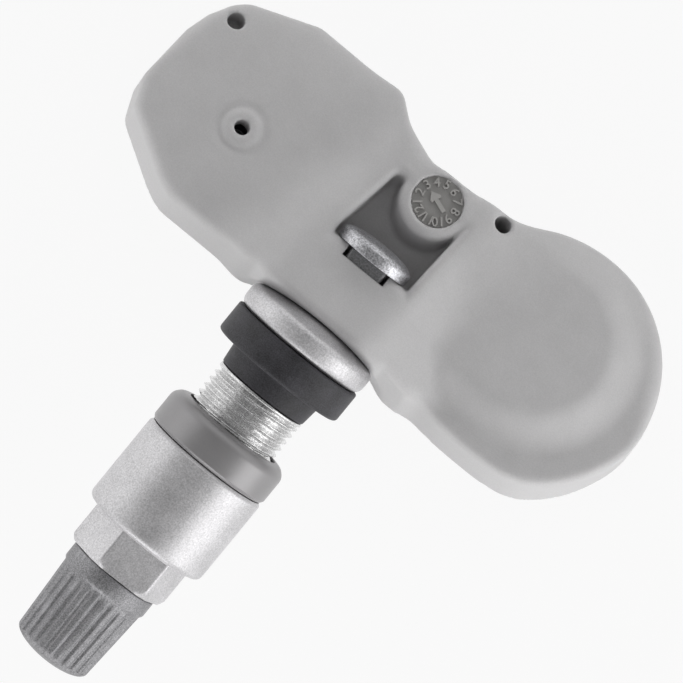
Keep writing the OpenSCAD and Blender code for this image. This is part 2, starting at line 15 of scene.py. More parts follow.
import bpy
import numpy as np
from mathutils import Matrix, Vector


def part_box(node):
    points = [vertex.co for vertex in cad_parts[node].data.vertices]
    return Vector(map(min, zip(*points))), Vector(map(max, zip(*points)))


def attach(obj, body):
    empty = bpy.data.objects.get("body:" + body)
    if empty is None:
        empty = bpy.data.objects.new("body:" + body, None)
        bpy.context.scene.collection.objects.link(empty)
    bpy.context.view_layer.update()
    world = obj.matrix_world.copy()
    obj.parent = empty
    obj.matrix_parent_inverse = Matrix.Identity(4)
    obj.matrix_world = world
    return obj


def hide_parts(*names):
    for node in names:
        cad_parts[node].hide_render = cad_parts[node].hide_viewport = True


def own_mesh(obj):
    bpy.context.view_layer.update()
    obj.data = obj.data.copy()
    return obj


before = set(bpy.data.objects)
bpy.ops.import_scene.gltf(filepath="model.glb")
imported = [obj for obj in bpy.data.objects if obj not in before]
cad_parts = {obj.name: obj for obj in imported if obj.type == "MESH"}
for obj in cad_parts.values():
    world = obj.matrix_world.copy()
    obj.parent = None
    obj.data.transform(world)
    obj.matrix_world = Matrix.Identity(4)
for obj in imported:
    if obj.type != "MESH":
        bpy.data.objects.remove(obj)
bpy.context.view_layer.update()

MM = 0.001
AXIS = 0.02  # radius that stands for the axis, in a section that closes there
LOG = logging.getLogger("tyre_pressure_sensor")

Colour = tuple[float, float, float]
Field = Callable[[np.ndarray, np.ndarray, np.ndarray], np.ndarray]


def ease(t: np.ndarray) -> np.ndarray:
    """Smooth step 3t^2 - 2t^3 of t held between 0 and 1."""
    t = np.clip(t, 0.0, 1.0)
    return t * t * (3.0 - 2.0 * t)


def soft_max(a: np.ndarray, b: np.ndarray, blend: float | np.ndarray) -> np.ndarray:
    """Larger of two fields, with the corner between them rounded over a width of blend.

    With h = (1 + (a - b) / blend) / 2 held in 0..1 the result is b + h (a - b) + blend h (1 - h).

    Args:
        a: First field.
        b: Second field.
        blend: Width of the rounding.

    Returns:
        The blended field.
    """
    h = np.clip(0.5 + 0.5 * (a - b) / blend, 0.0, 1.0)
    return b + (a - b) * h + blend * h * (1.0 - h)


def soft_min(a: np.ndarray, b: np.ndarray, blend: float | np.ndarray) -> np.ndarray:
    """Smaller of two fields with a rounded corner, the mirror image of soft_max."""
    return -soft_max(-a, -b, blend)


def convex_distance(x: np.ndarray, y: np.ndarray, corners: np.ndarray) -> np.ndarray:
    """Signed distance to a convex outline given anticlockwise.

    Inside it is the largest distance to an edge's line, which is negative. Outside it is the distance
    to the nearest edge.

    Args:
        x: Places along x.
        y: Places along y.
        corners: The outline's corners, one row each.

    Returns:
        The distance at each place.
    """
    line = np.full(np.broadcast(x, y).shape, -1e9)
    near = np.full(np.broadcast(x, y).shape, 1e9)
    for (ax, ay), (bx, by) in zip(corners, np.roll(corners, -1, axis=0)):
        ex, ey = bx - ax, by - ay
        length = math.hypot(ex, ey)
        line = np.maximum(line, ((x - ax) * ey - (y - ay) * ex) / length)
        t = np.clip(((x - ax) * ex + (y - ay) * ey) / length**2, 0.0, 1.0)
        near = np.minimum(near, np.hypot(x - ax - t * ex, y - ay - t * ey))
    return np.where(line < 0.0, line, near)


def linked(name: str, data: bpy.types.ID) -> bpy.types.Object:
    """A new object with this data, in the scene."""
    made = bpy.data.objects.new(name, data)
    bpy.context.scene.collection.objects.link(made)
    return made


def mesh_piece(
    name: str, points: np.ndarray, faces: np.ndarray, sharp: float | None = 38.0
) -> bpy.types.Object:
    """Makes an object from arrays, with its faces turned outwards.

    Args:
        name: The piece's name.
        points: Places in millimetres, one row each.
        faces: Four vertex numbers a row.
        sharp: Angle above which an edge shades as sharp, or None to shade all of it smooth.

    Returns:
        The new object, at the origin.
    """
    a, b, c, d = (points[faces[:, k]] for k in range(4))
    volume = np.einsum("ij,ij->i", a, np.cross(b, c)) + np.einsum("ij,ij->i", a, np.cross(c, d))
    if volume.sum() < 0.0:
        faces = faces[:, ::-1]
    mesh = bpy.data.meshes.new(name)
    mesh.vertices.add(len(points))
    mesh.vertices.foreach_set("co", (points * MM).astype(np.float32).ravel())
    mesh.loops.add(faces.size)
    mesh.loops.foreach_set("vertex_index", faces.astype(np.int32).ravel())
    mesh.polygons.add(len(faces))
    mesh.polygons.foreach_set("loop_start", np.arange(0, faces.size, 4, dtype=np.int32))
    mesh.update(calc_edges=True)
    mesh.validate()
    mesh.shade_smooth()
    if sharp is not None:
        mesh.set_sharp_from_angle(angle=math.radians(sharp))
    return linked(name, mesh)


def ring_faces(rows: int, columns: int, wrap_rows: bool) -> np.ndarray:
    """Quads of a grid whose columns close on themselves, and whose rows do so if wrap_rows is set."""
    last = rows if wrap_rows else rows - 1
    i, j = np.meshgrid(np.arange(last), np.arange(columns), indexing="ij")
    k, m = (i + 1) % rows, (j + 1) % columns
    return np.stack([i * columns + j, k * columns + j, k * columns + m, i * columns + m], -1).reshape(-1, 4)


def rounded(profile: Sequence[tuple[float, ...]], steps: int = 6) -> np.ndarray:
    """Rounds the corners of a closed profile.

    A corner is given as radius and station, with the size of its rounding as a third number where it has
    one. The rounding is the curve (1-t)^2 p + 2t(1-t) c + t^2 q, where c is the corner and p and q lie
    at that distance from it on its two sides.

    Args:
        profile: The corners in order.
        steps: Number of stretches in a rounding.

    Returns:
        The profile's points, one row each.
    """
    corners = np.array([c[:2] for c in profile], float)
    out = []
    for k, corner in enumerate(profile):
        size = corner[2] if len(corner) > 2 else 0.0
        if size <= 0.0:
            out.append(corners[k][None])
            continue
        back = corners[k - 1] - corners[k]
        on = corners[(k + 1) % len(corners)] - corners[k]
        p = corners[k] + back / np.hypot(*back) * size
        q = corners[k] + on / np.hypot(*on) * size
        t = np.linspace(0.0, 1.0, steps + 1)[:, None]
        out.append((1 - t) ** 2 * p + 2 * t * (1 - t) * corners[k] + t**2 * q)
    return np.concatenate(out)


def filled(profile: np.ndarray, step: float, low: float = -1e9, high: float = 1e9) -> np.ndarray:
    """Adds points to a closed profile so that no stretch between two stations is longer than step."""
    out = []
    for p, q in zip(profile, np.roll(profile, -1, axis=0)):
        inside = low <= min(p[1], q[1]) and max(p[1], q[1]) <= high
        count = max(1, math.ceil(np.hypot(*(q - p)) / step)) if inside else 1
        t = np.arange(count)[:, None] / count
        out.append(p + (q - p) * t)
    return np.concatenate(out)


def around(radius: np.ndarray, station: np.ndarray, angle: np.ndarray) -> np.ndarray:
    """Points at a radius, a station and an angle about the stem, one row each."""
    return np.stack([-radius * np.sin(angle), -station, radius * np.cos(angle)], -1).reshape(-1, 3)


def turned(
    name: str, profile: np.ndarray, sides: int = 144, shape: Field | None = None, sharp: float = 38.0
) -> bpy.types.Object:
    """Turns a closed profile about the stem.

    Args:
        name: The piece's name.
        profile: Radius and station of each point, in order round the section.
        sides: Number of steps round the stem.
        shape: Gives the radius at each radius, station and angle, or None to keep the profile's.
        sharp: Passed on to mesh_piece.

    Returns:
        The piece.
    """
    angle = np.linspace(0.0, 2.0 * math.pi, sides, endpoint=False)[None, :]
    radius, station = profile[:, 0][:, None], profile[:, 1][:, None]
    radius = radius + 0.0 * angle if shape is None else shape(radius, station, angle)
    points = around(radius, np.broadcast_to(station, radius.shape), angle)
    return mesh_piece(name, points, ring_faces(len(profile), sides, True), sharp)


def thread(crest: float, depth: float, pitch: float, start: float, end: float) -> Field:
    """Shape of a right-handed screw thread with a rounded crest and root.

    Its radius is crest - depth (1 - w), where w falls evenly from 1 on the crest to 0 in the root, with
    the crest and the root a little blunted, and the thread fades to the crest's radius at either end.

    Args:
        crest: Radius of the crest. Only places on this radius are changed.
        depth: Depth of the thread.
        pitch: Distance between two crests.
        start: First station.
        end: Last station.

    Returns:
        A shape for turned().
    """

    def shape(radius: np.ndarray, station: np.ndarray, angle: np.ndarray) -> np.ndarray:
        """Radius with the thread cut into it."""
        turn = np.mod(station / pitch - angle / (2.0 * math.pi), 1.0)
        wave = np.clip(1.25 * np.abs(2.0 * turn - 1.0) - 0.125, 0.0, 1.0)
        reach = ease((station - start) / (0.5 * pitch)) * ease((end - station) / (0.6 * pitch))
        return radius - np.where(np.abs(radius - crest) < 0.02, depth * (1.0 - wave) * reach, 0.0)

    return shape


def net(
    name: str, shape: Field, low: Sequence[float], high: Sequence[float], step: float
) -> bpy.types.Object:
    """Skin of the solid where a field is negative.

    The field is worked out on a grid. Each cell that the skin passes gets one point, the mean of the
    places where the skin crosses the cell's edges, and each crossed edge gets the quad of its four
    cells. Three steps p - f g / |g|^2, with g the field's slope, then bring the points onto the skin.

    Args:
        name: The piece's name.
        shape: The field, in the row's frame.
        low: Lowest corner of the grid.
        high: Highest corner of the grid.
        step: Spacing of the grid.

    Returns:
        The piece.
    """
    axes = [np.arange(a, b + step, step) for a, b in zip(low, high)]
    value = shape(axes[0][:, None, None], axes[1][None, :, None], axes[2][None, None, :])
    inside = value < 0.0
    cells = tuple(n - 1 for n in value.shape)
    total, count = np.zeros(cells + (3,)), np.zeros(cells)
    quads = []
    for axis in range(3):
        first, second = [slice(None)] * 3, [slice(None)] * 3
        first[axis], second[axis] = slice(0, -1), slice(1, None)
        a, b = value[tuple(first)], value[tuple(second)]
        crossed = inside[tuple(first)] != inside[tuple(second)]
        where = np.stack(np.nonzero(crossed), -1)
        along = (a / np.where(crossed, a - b, 1.0))[crossed]
        place = np.stack([axes[k][where[:, k]] for k in range(3)], -1)
        place[:, axis] += along * step
        u, v = [k for k in range(3) if k != axis]
        corners = []
        for du, dv in ((0, 0), (1, 0), (1, 1), (0, 1)):
            cell = where.copy()
            cell[:, u] -= du
            cell[:, v] -= dv
            np.add.at(total, tuple(cell.T), place)
            np.add.at(count, tuple(cell.T), 1.0)
            corners.append(np.ravel_multi_index(tuple(cell.T), cells))
        quad = np.stack(corners, -1)
        flip = inside[tuple(first)][crossed] == (axis != 1)
        quads.append(np.where(flip[:, None], quad, quad[:, ::-1]))
    used = np.flatnonzero(count.ravel())
    points = total.reshape(-1, 3)[used] / count.ravel()[used][:, None]
    number = np.zeros(count.size, np.int64)
    number[used] = np.arange(len(used))
    probe = 0.02
    for _ in range(3):
        x, y, z = points.T
        f = shape(x, y, z)
        slope = np.stack([
            shape(x + probe, y, z) - shape(x - probe, y, z),
            shape(x, y + probe, z) - shape(x, y - probe, z),
            shape(x, y, z + probe) - shape(x, y, z - probe),
        ], -1) / (2.0 * probe)
        move = slope * (f / np.maximum((slope**2).sum(-1), 0.25))[:, None]
        points = points - np.clip(move, -0.5 * step, 0.5 * step)
    return mesh_piece(name, points, number[np.concatenate(quads)], None)


class Value:
    """A number in a shader, with arithmetic that adds Math nodes."""

    def __init__(self, shader: "Shader", socket: bpy.types.NodeSocket) -> None:
        """Wraps an output socket of a shader."""
        self.shader, self.socket = shader, socket

    def _math(self, operation: str, first: Any, second: Any) -> "Value":
        """Adds a Math node and wraps its result."""
        node = self.shader.node("ShaderNodeMath", {"operation": operation}, {0: first, 1: second})
        return Value(self.shader, node.outputs[0])

    def __add__(self, other: Any) -> "Value":
        """self + other."""
        return self._math("ADD", self, other)

    def __mul__(self, other: Any) -> "Value":
        """self * other."""
        return self._math("MULTIPLY", self, other)


class Shader:
    """A material's node tree."""

    def __init__(self, name: str) -> None:
        """Starts a material with a Principled shader."""
        self.material = bpy.data.materials.new(name)
        self.material.use_nodes = True
        self.tree = self.material.node_tree
        self.bsdf = next(n for n in self.tree.nodes if n.type == "BSDF_PRINCIPLED")
        self.place = self.node("ShaderNodeTexCoord").outputs["Object"]

    def node(
        self, kind: str, settings: dict[str, Any] | None = None, sockets: dict[Any, Any] | None = None
    ) -> Any:
        """Adds any node.

        Args:
            kind: The node's type.
            settings: Its properties, set first. The key stops gives a ramp's places and colours.
            sockets: Its inputs by name or number, each a value, a Value or an output socket.

        Returns:
            The node.
        """
        node = self.tree.nodes.new(kind)
        for key, value in (settings or {}).items():
            if key == "stops":
                ramp = node.color_ramp.elements
                while len(ramp) < len(value):
                    ramp.new(0.5)
                for element, (at, colour) in zip(ramp, value):
                    element.position, element.color = at, colour
            else:
                setattr(node, key, value)
        for key, value in (sockets or {}).items():
            self.feed(node.inputs[key], value)
        return node

    def feed(self, socket: bpy.types.NodeSocket, value: Any) -> None:
        """Sets a socket to a constant, or links it to a Value or an output socket."""
        if isinstance(value, Value):
            value = value.socket
        if isinstance(value, bpy.types.NodeSocket):
            self.tree.links.new(value, socket)
        else:
            socket.default_value = value

    def noise(self, size: float, detail: float = 3.0, stretch: Sequence[float] = (1.0, 1.0, 1.0)) -> Value:
        """Noise of 0 to 1 whose patches are about size millimetres wide.

        Args:
            size: Width of a patch.
            detail: Levels of finer noise.
            stretch: Factors by which the patches are longer along each axis.

        Returns:
            The noise.
        """
        scale = tuple(1.0 / (size * MM * s) for s in stretch)
        where = self.node("ShaderNodeMapping", {}, {"Vector": self.place, "Scale": scale})
        sockets = {"Vector": where.outputs[0], "Scale": 1.0, "Detail": detail, "Roughness": 0.55}
        noise = self.node("ShaderNodeTexNoise", {}, sockets)
        return Value(self, noise.outputs[0])

    def band(self, value: Value, low: float, high: float) -> Value:
        """Value's place between low and high, held in 0 to 1."""
        node = self.node(
            "ShaderNodeMapRange", {"clamp": True}, {"Value": value, "From Min": low, "From Max": high}
        )
        return Value(self, node.outputs[0])

    def mixed(self, factor: Any, first: Any, second: Any) -> Any:
        """Colour between two others, as an output socket."""
        node = self.node("ShaderNodeMix", {"data_type": "RGBA"}, {"Factor": factor})
        self.feed(node.inputs[6], first)
        self.feed(node.inputs[7], second)
        return node.outputs[2]

    def bump(self, height: Value, depth: float) -> Any:
        """Normal of a surface with bumps of up to depth millimetres, as an output socket."""
        sockets = {"Height": height, "Distance": depth * MM, "Strength": 1.0}
        return self.node("ShaderNodeBump", {}, sockets).outputs[0]


def rgba(colour: Colour, factor: float = 1.0) -> tuple[float, float, float, float]:
    """A colour made lighter or darker, with its alpha."""
    return (*(min(1.0, c * factor) for c in colour), 1.0)


@dataclass(frozen=True)
class Finish:
    """A finish: a colour with mottle and speckle, wear, roughness and grain.

    Attributes:
        name: Name of the material.
        colour: Main colour.
        metallic: 1 for bare metal.
        roughness: Middle roughness.
        mottle: Share by which broad patches are lighter and darker.
        speckle: Share by which fine specks are lighter and darker.
        speck_size: Width of the specks in millimetres.
        grain: Depth of the fine bumps in millimetres.
        streak: Share of lighter streaks along the stem or across it.
        streak_stretch: Factors by which streaks are longer along each axis.
        coat: Weight of a thin clear coat.
        specular: Level of the plain reflection.
    """

    name: str
    colour: Colour
    metallic: float = 0.0
    roughness: float = 0.5
    mottle: float = 0.05
    speckle: float = 0.05
    speck_size: float = 0.12
    grain: float = 0.004
    streak: float = 0.0
    streak_stretch: tuple[float, float, float] = (1.0, 6.0, 1.0)
    coat: float = 0.0
    specular: float = 0.5

    def material(self) -> bpy.types.Material:
        """Builds the node material.

        Colour = colour x (1 + mottle n1) x (1 + speckle n2), lightened by streaks, where n1 and n2 are
        noises about zero. The roughness follows both, and the grain is the speck noise as a bump.

        Returns:
            The material.
        """
        shader = Shader(self.name)
        patches = shader.noise(3.2, 3.0)
        specks = shader.noise(self.speck_size, 2.0)
        tone = shader.band(patches, 0.3, 0.7) * self.mottle + shader.band(specks, 0.3, 0.7) * self.speckle
        spread = self.mottle + self.speckle
        dark, light = rgba(self.colour, 1 - spread), rgba(self.colour, 1 + spread)
        base = shader.mixed(shader.band(tone, 0.0, max(spread, 1e-3)), dark, light)
        if self.streak:
            lines = shader.noise(0.35, 2.0, self.streak_stretch)
            worn = shader.band(lines, 0.52, 0.8) * shader.band(patches, 0.45, 0.7) * self.streak
            base = shader.mixed(worn, base, rgba(self.colour, 2.6))
        bsdf = shader.bsdf
        shader.feed(bsdf.inputs["Base Color"], base)
        shader.feed(bsdf.inputs["Roughness"], shader.band(patches, 0.2, 0.8) * 0.12 + (self.roughness - 0.06))
        bsdf.inputs["Metallic"].default_value = self.metallic
        bsdf.inputs["Coat Weight"].default_value = self.coat
        bsdf.inputs["Specular IOR Level"].default_value = self.specular
        shader.feed(bsdf.inputs["Normal"], shader.bump(specks, self.grain))
        return shader.material


class Look(Enum):
    """The finishes of the object's pieces."""

    HOUSING = Finish("moulded_housing", (0.6, 0.593, 0.597), 0.0, 0.5, 0.025, 0.05, 0.16, 0.008)
    # The dial insert's own grey, taken a little darker as painted shade so that the painted-highlight
    # numerals stand out.
    DIAL_WITH_PAINTED_SHADE = Finish("dial_insert_with_painted_shade", (0.32, 0.314, 0.306), 0.0, 0.5, 0.03, 0.04, 0.12, 0.005)
    # Painted highlight: the numerals are a lighter copy of the dial's grey, standing in for the light on
    # their raised edges.
    NUMERAL_PAINTED_HIGHLIGHT = Finish("dial_numeral_painted_highlight", (0.42, 0.412, 0.4), 0.0, 0.5, 0.03, 0.04, 0.12, 0.002)
    COVER = Finish("base_potting", (0.45, 0.45, 0.445), 0.0, 0.42, 0.05, 0.03)
    SATIN = Finish("blasted_nickel", (0.6, 0.593, 0.604), 1.0, 0.5, 0.09, 0.2, 0.18, 0.018)
    THREAD = Finish("cut_thread", (0.92, 0.915, 0.92), 1.0, 0.22, 0.16, 0.5, 0.14, 0.012)
    COLLAR = Finish("smooth_collar", (0.31, 0.303, 0.308), 0.5, 0.38, 0.03, 0.02, 0.2, 0.001)
    CAP = Finish("dark_cap", (0.3, 0.298, 0.307), 0.9, 0.55, 0.12, 0.4, 0.14, 0.018, 0.6, (1.0, 16.0, 1.0))
    RUBBER = Finish(
        "seal_rubber", (0.034, 0.033, 0.038), 0.0, 0.55, 0.5, 0.6, 0.14, 0.024, 0.5, (5.0, 1.0, 5.0),
        specular=0.45,
    )
    ZINC = Finish("zinc_bolt", (0.52, 0.52, 0.54), 1.0, 0.42, 0.16, 0.45, 0.2, 0.026)
    NECK = Finish("bolt_neck", (0.24, 0.24, 0.245), 0.9, 0.5, 0.12, 0.3, 0.2, 0.014)
    BOARD = Finish("solder_mask", (0.02, 0.13, 0.06), 0.0, 0.3, 0.05, 0.03, 0.3, 0.001, coat=0.3)
    CELL = Finish("cell_can", (0.62, 0.62, 0.63), 1.0, 0.25, 0.03, 0.04, 0.2, 0.001)
    TAB = Finish("spot_welded_tab", (0.55, 0.55, 0.56), 1.0, 0.32, 0.04, 0.05, 0.2, 0.001)
    CASE = Finish("sensor_case", (0.4, 0.4, 0.42), 0.3, 0.4, 0.03, 0.04)
    CHIP = Finish("chip_mould", (0.02, 0.02, 0.022), 0.0, 0.5, 0.05, 0.08)
    CRYSTAL = Finish("crystal_can", (0.6, 0.58, 0.52), 1.0, 0.25, 0.03, 0.03)
    WINDING = Finish("enamelled_wire", (0.42, 0.17, 0.06), 0.7, 0.3, 0.05, 0.1, 0.12, 0.004)
    CERAMIC = Finish("capacitor_ceramic", (0.38, 0.27, 0.17), 0.0, 0.4, 0.05, 0.05)
    BRASS = Finish("turned_brass", (0.72, 0.5, 0.2), 1.0, 0.28, 0.04, 0.05, 0.15, 0.001)
    SPRING = Finish("spring_wire", (0.5, 0.5, 0.52), 1.0, 0.25, 0.03, 0.05)


class Wardrobe:
    """Hands out each finish's material, made once."""

    def __init__(self) -> None:
        """Starts with no materials made."""
        self.made: dict[Look, bpy.types.Material] = {}

    def of(self, look: Look) -> bpy.types.Material:
        """The material of a look."""
        if look not in self.made:
            self.made[look] = look.value.material()
        return self.made[look]

    def dress(
        self, piece: bpy.types.Object, look: Look, body: str, slot: str, *nodes: str
    ) -> bpy.types.Object:
        """Gives a piece its material, body and the CAD nodes that it stands for.

        Args:
            piece: The finished piece.
            look: Its finish.
            body: CAD body that it rides on.
            slot: Not used.
            nodes: CAD nodes that it replaces.

        Returns:
            The piece.
        """
        piece.data.materials.clear()
        piece.data.materials.append(self.of(look))
        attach(piece, body)
        if nodes:
            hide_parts(*nodes)
        LOG.info("%s: %d faces on %s", piece.name, len(piece.data.polygons), body)
        return piece


@dataclass(frozen=True)
class Housing:
    """The moulded housing, given as a field in its own frame and skinned.

    Attributes:
        front, back, left: Reach of the outline towards the valve, away from it, and to the left.
        corner: Radius of the electronics lobe's corners.
        drum_at, drum_r: Middle and radius of the round battery lobe.
        waist: Reach of the outline between the lobes, at the back.
        shoulder, crown: Height of the electronics lobe at its edge and in its middle.
        plateau, plateau_at: Height and middle of the battery lobe's raised level.
        bridge: Height of the bridge in front.
        boss_h, boss_r: Height and radius of the dial's boss.
        dial_at, dial_r, dial_depth: Middle, radius and depth of the dial's recess.
        port_at, port_r: Middle and radius of the pressure port.
        holes_at, hole_r, hole_floor: Places, radius and floor of the two locating holes.
        tilt: Angle between the stem and the base.
        front_wall, axis_h: The front's distance from the rim along the stem, and the stem's height there.
        swivel, seat_r, pocket_r: Place of the balls' centre along the stem, and the radii of the seat
            and of the pocket's round wall.
        pocket_w, pocket_floor, pocket_back: Half width, depth and back of the bolt's pocket.
        slot_w, slot_up, slot_down: Width of the bolt's slot and its reach over and under the stem's axis.
        cover_t, board_ceiling: Height of the cover's rebate and of the board's room.
        room_ceiling, room_end: Ceiling and right end of the electronics' room.
        cell_r, cell_ceiling: Radius and ceiling of the battery's room.
        wall: Thickness of the walls.
        step: Spacing of the skin's grid.
    """

    front: float = -7.4
    back: float = 18.25
    left: float = -32.0
    corner: float = 2.5
    drum_at: tuple[float, float] = (20.8, 5.5)
    drum_r: float = 14.65
    waist: float = 14.0
    shoulder: float = 7.6
    crown: float = 8.9
    plateau: float = 9.7
    plateau_at: tuple[float, float] = (19.5, 6.5)
    bridge: float = 12.5
    boss_h: float = 11.4
    boss_r: float = 4.2
    dial_at: tuple[float, float] = (1.6, 10.7)
    dial_r: float = 2.95
    dial_depth: float = 0.4
    port_at: tuple[float, float] = (-20.0, 3.8)
    port_r: float = 0.87
    holes_at: tuple[tuple[float, float], ...] = ((-28.0, 13.05), (8.7, 13.6))
    hole_r: float = 1.0
    hole_floor: float = 4.6
    tilt: float = 19.0
    front_wall: float = 7.1
    axis_h: float = 7.2
    swivel: float = -15.0
    seat_r: float = 23.0
    pocket_r: float = 31.4
    pocket_w: float = 5.05
    pocket_floor: float = 6.63
    pocket_back: float = 10.6
    slot_w: float = 5.6
    slot_up: float = 2.85
    slot_down: float = 4.46
    cover_t: float = 1.2
    board_ceiling: float = 2.7
    room_ceiling: float = 6.8
    room_end: float = -9.6
    cell_r: float = 10.15
    cell_ceiling: float = 7.6
    wall: float = 1.4
    step: float = 0.27

    def shift(self) -> tuple[float, float]:
        """Place of the housing's own origin before its tilt, along y and z."""
        t = math.radians(self.tilt)
        return -self.front + self.front_wall * math.cos(t), self.front_wall * math.sin(t) - self.axis_h

    def own(self, y: np.ndarray, z: np.ndarray) -> tuple[np.ndarray, np.ndarray]:
        """Turns y and z of the row's frame into the housing's own."""
        t, (dy, dz) = math.radians(self.tilt), self.shift()
        return y * math.cos(t) - z * math.sin(t) - dy, y * math.sin(t) + z * math.cos(t) - dz

    def placed(self, points: np.ndarray) -> np.ndarray:
        """Turns points of the housing's own frame into the row's."""
        t, (dy, dz) = math.radians(self.tilt), self.shift()
        y, z, c, s = points[:, 1] + dy, points[:, 2] + dz, math.cos(t), math.sin(t)
        return np.stack([points[:, 0], y * c + z * s, z * c - y * s], -1)

    def corners(self) -> np.ndarray:
        """Centres of the electronics lobe's rounded corners, anticlockwise."""
        x, y, c = self.left + self.corner, self.back - self.corner, self.front + self.corner
        return np.array([
            (-9.7, y), (x + 9.7, y + 0.1), (x + 3.2, y - 2.45), (x + 1.9, y - 3.3), (x + 0.9, y - 4.7),
            (x + 0.35, y - 6.8), (x, c + 7.3),
            (x + 0.9, c + 5.05), (x + 8.9, c), (-7.0, c), (-5.2, self.waist - self.corner + 1.0),
        ])

    def left_plan(self, x: np.ndarray, y: np.ndarray) -> np.ndarray:
        """Distance to the electronics lobe's outline, which swells a little towards the back."""
        swell = ease((y - 3.0) / 8.0) * ease((x - self.left - 0.8) / 3.2) * ease((-5.5 - x) / 5.0)
        return convex_distance(x, y, self.corners()) - self.corner - 0.2 - 0.8 * swell

    def drum_plan(self, x: np.ndarray, y: np.ndarray) -> np.ndarray:
        """Distance to the battery lobe's round outline, a little fuller towards its right end."""
        across, along = x - self.drum_at[0], y - self.drum_at[1]
        fuller = ease(1.0 - np.abs(np.arctan2(along, across) + 0.1) / 0.35)
        return np.hypot(across, along) - self.drum_r - 0.22 * fuller

    def top(self, x: np.ndarray, y: np.ndarray, left: np.ndarray) -> np.ndarray:
        """Height of the top.

        The electronics lobe is a low crown, shoulder + (crown - shoulder)(1 - (1 - t)^2) with t growing
        from its edge. The battery lobe is a raised level whose right end is round, with an eased slope.
        The bridge is a crest with straight flanks, and all three are joined with rounded creases.

        Args:
            x: Places along x.
            y: Places along y.
            left: Distance to the electronics lobe's outline.

        Returns:
            The height at each place.
        """
        t = np.clip(-left / 7.5, 0.0, 1.0)
        port = np.hypot(x - self.port_at[0], y - self.port_at[1])
        low = self.shoulder + (self.crown - self.shoulder) * (1.0 - (1.0 - t) ** 2)
        low = low + 0.62 * ease((2.5 - port) / 1.0) - 0.16 * ease((3.5 - port) / 1.0)
        rho = np.hypot(np.maximum(x - self.plateau_at[0], 0.0), y - self.plateau_at[1])
        drum = 7.5 + (self.plateau - 7.5) * ease((12.9 - rho) / 5.3)
        lobes = np.where(x < 0.0, low, drum)
        crest = self.boss_h + (self.bridge - self.boss_h) * ease((9.6 - y) / 8.0)
        edge_l = np.interp(y, [-7.4, 3.0, 12.0], [-7.0, -6.4, -5.3])
        edge_r = np.interp(y, [-7.4, -5.5, 4.0, 12.0], [4.9, 5.5, 6.2, 7.6])
        zero = np.zeros_like(x + y)
        flanks = 0.56 * soft_max(edge_l - x, zero, 1.4) + 0.5 * soft_max(x - edge_r, zero, 1.4)
        crease = np.where(x < 0.0, 1.5, 0.7 + 2.6 * ease((y - 2.0) / 9.0))
        return soft_max(lobes, crest - flanks, crease)

    def plan(self, x: np.ndarray, y: np.ndarray, z: np.ndarray) -> np.ndarray:
        """Distance to the whole outline, whose walls lean in, with a lip in front round the valve's foot."""
        waist = np.maximum(np.abs(x - 1.0) - 13.0, y - self.waist - 0.5 - 0.95 * ease((x - 2.0) / 6.0))
        both = soft_min(soft_min(self.left_plan(x, y), self.drum_plan(x, y), 3.0), waist, 2.5)
        lean = both + z * (0.03 + 0.03 * ease((x - 2.0) / 10.0))
        lip = 0.7 * ease((9.6 - np.abs(x)) / 2.2)
        front = self.front - np.maximum(0.22 * ease(x / 4.0) + 0.013 * np.maximum(x, 0.0), lip)
        return soft_max(lean, front - y, 1.8)

    def body(self, x: np.ndarray, y: np.ndarray, z: np.ndarray, plan: np.ndarray) -> np.ndarray:
        """The outer form without its openings, in the housing's own frame."""
        rear = ease((y - 4.0) / 8.0)
        corner = 1.1 + (0.8 + 0.5 * ease((x - 2.0) / 10.0)) * rear
        solid = soft_max(plan, z - self.top(x, y, self.left_plan(x, y)), corner)
        return soft_max(solid, -z, 0.2)

    def hollow(self, x: np.ndarray, y: np.ndarray, z: np.ndarray) -> np.ndarray:
        """Room for the cover, the board, the electronics, and the battery with its contact strip.

        Args:
            x: Places along x.
            y: Places along y, in the housing's own frame.
            z: Heights over the base.

        Returns:
            A field that is negative in the room.
        """
        left, drum = self.left_plan(x, y), self.drum_plan(x, y)
        boss_x, boss_y = self.holes_at[0]

        def plan(extra: float) -> np.ndarray:
            """Plan of the two rooms and the tunnel between them, grown by extra."""
            room_l = np.maximum(left + self.wall + 0.4 - extra, x - self.room_end - extra)
            room_r = np.maximum(drum + self.wall + 1.1 - extra, self.front + self.wall + 0.4 - extra - y)
            tunnel = np.maximum(np.abs(x - 1.7) - 12.0, np.abs(y - 7.1) - 3.7 - extra)
            return np.minimum(np.minimum(room_l, room_r), tunnel)

        cover = np.maximum(plan(0.7), z - self.cover_t)
        board = np.maximum(plan(0.0), z - self.board_ceiling)
        boss = 2.0 * self.hole_r - np.hypot(x - boss_x, y - boss_y)
        room_l = np.maximum(left + self.wall + 0.4, x - self.room_end)
        room_l = np.maximum(room_l, np.maximum(z - self.room_ceiling, boss))
        across, along = x - self.plateau_at[0], y - self.plateau_at[1]
        strip = np.maximum(np.abs(across + self.cell_r), np.abs(along) - 1.3) - 1.0
        cell = np.minimum(np.hypot(across, along) - self.cell_r, strip)
        room_r = np.maximum(cell, z - self.cell_ceiling)
        return np.minimum(np.minimum(cover, board), np.minimum(room_l, room_r))

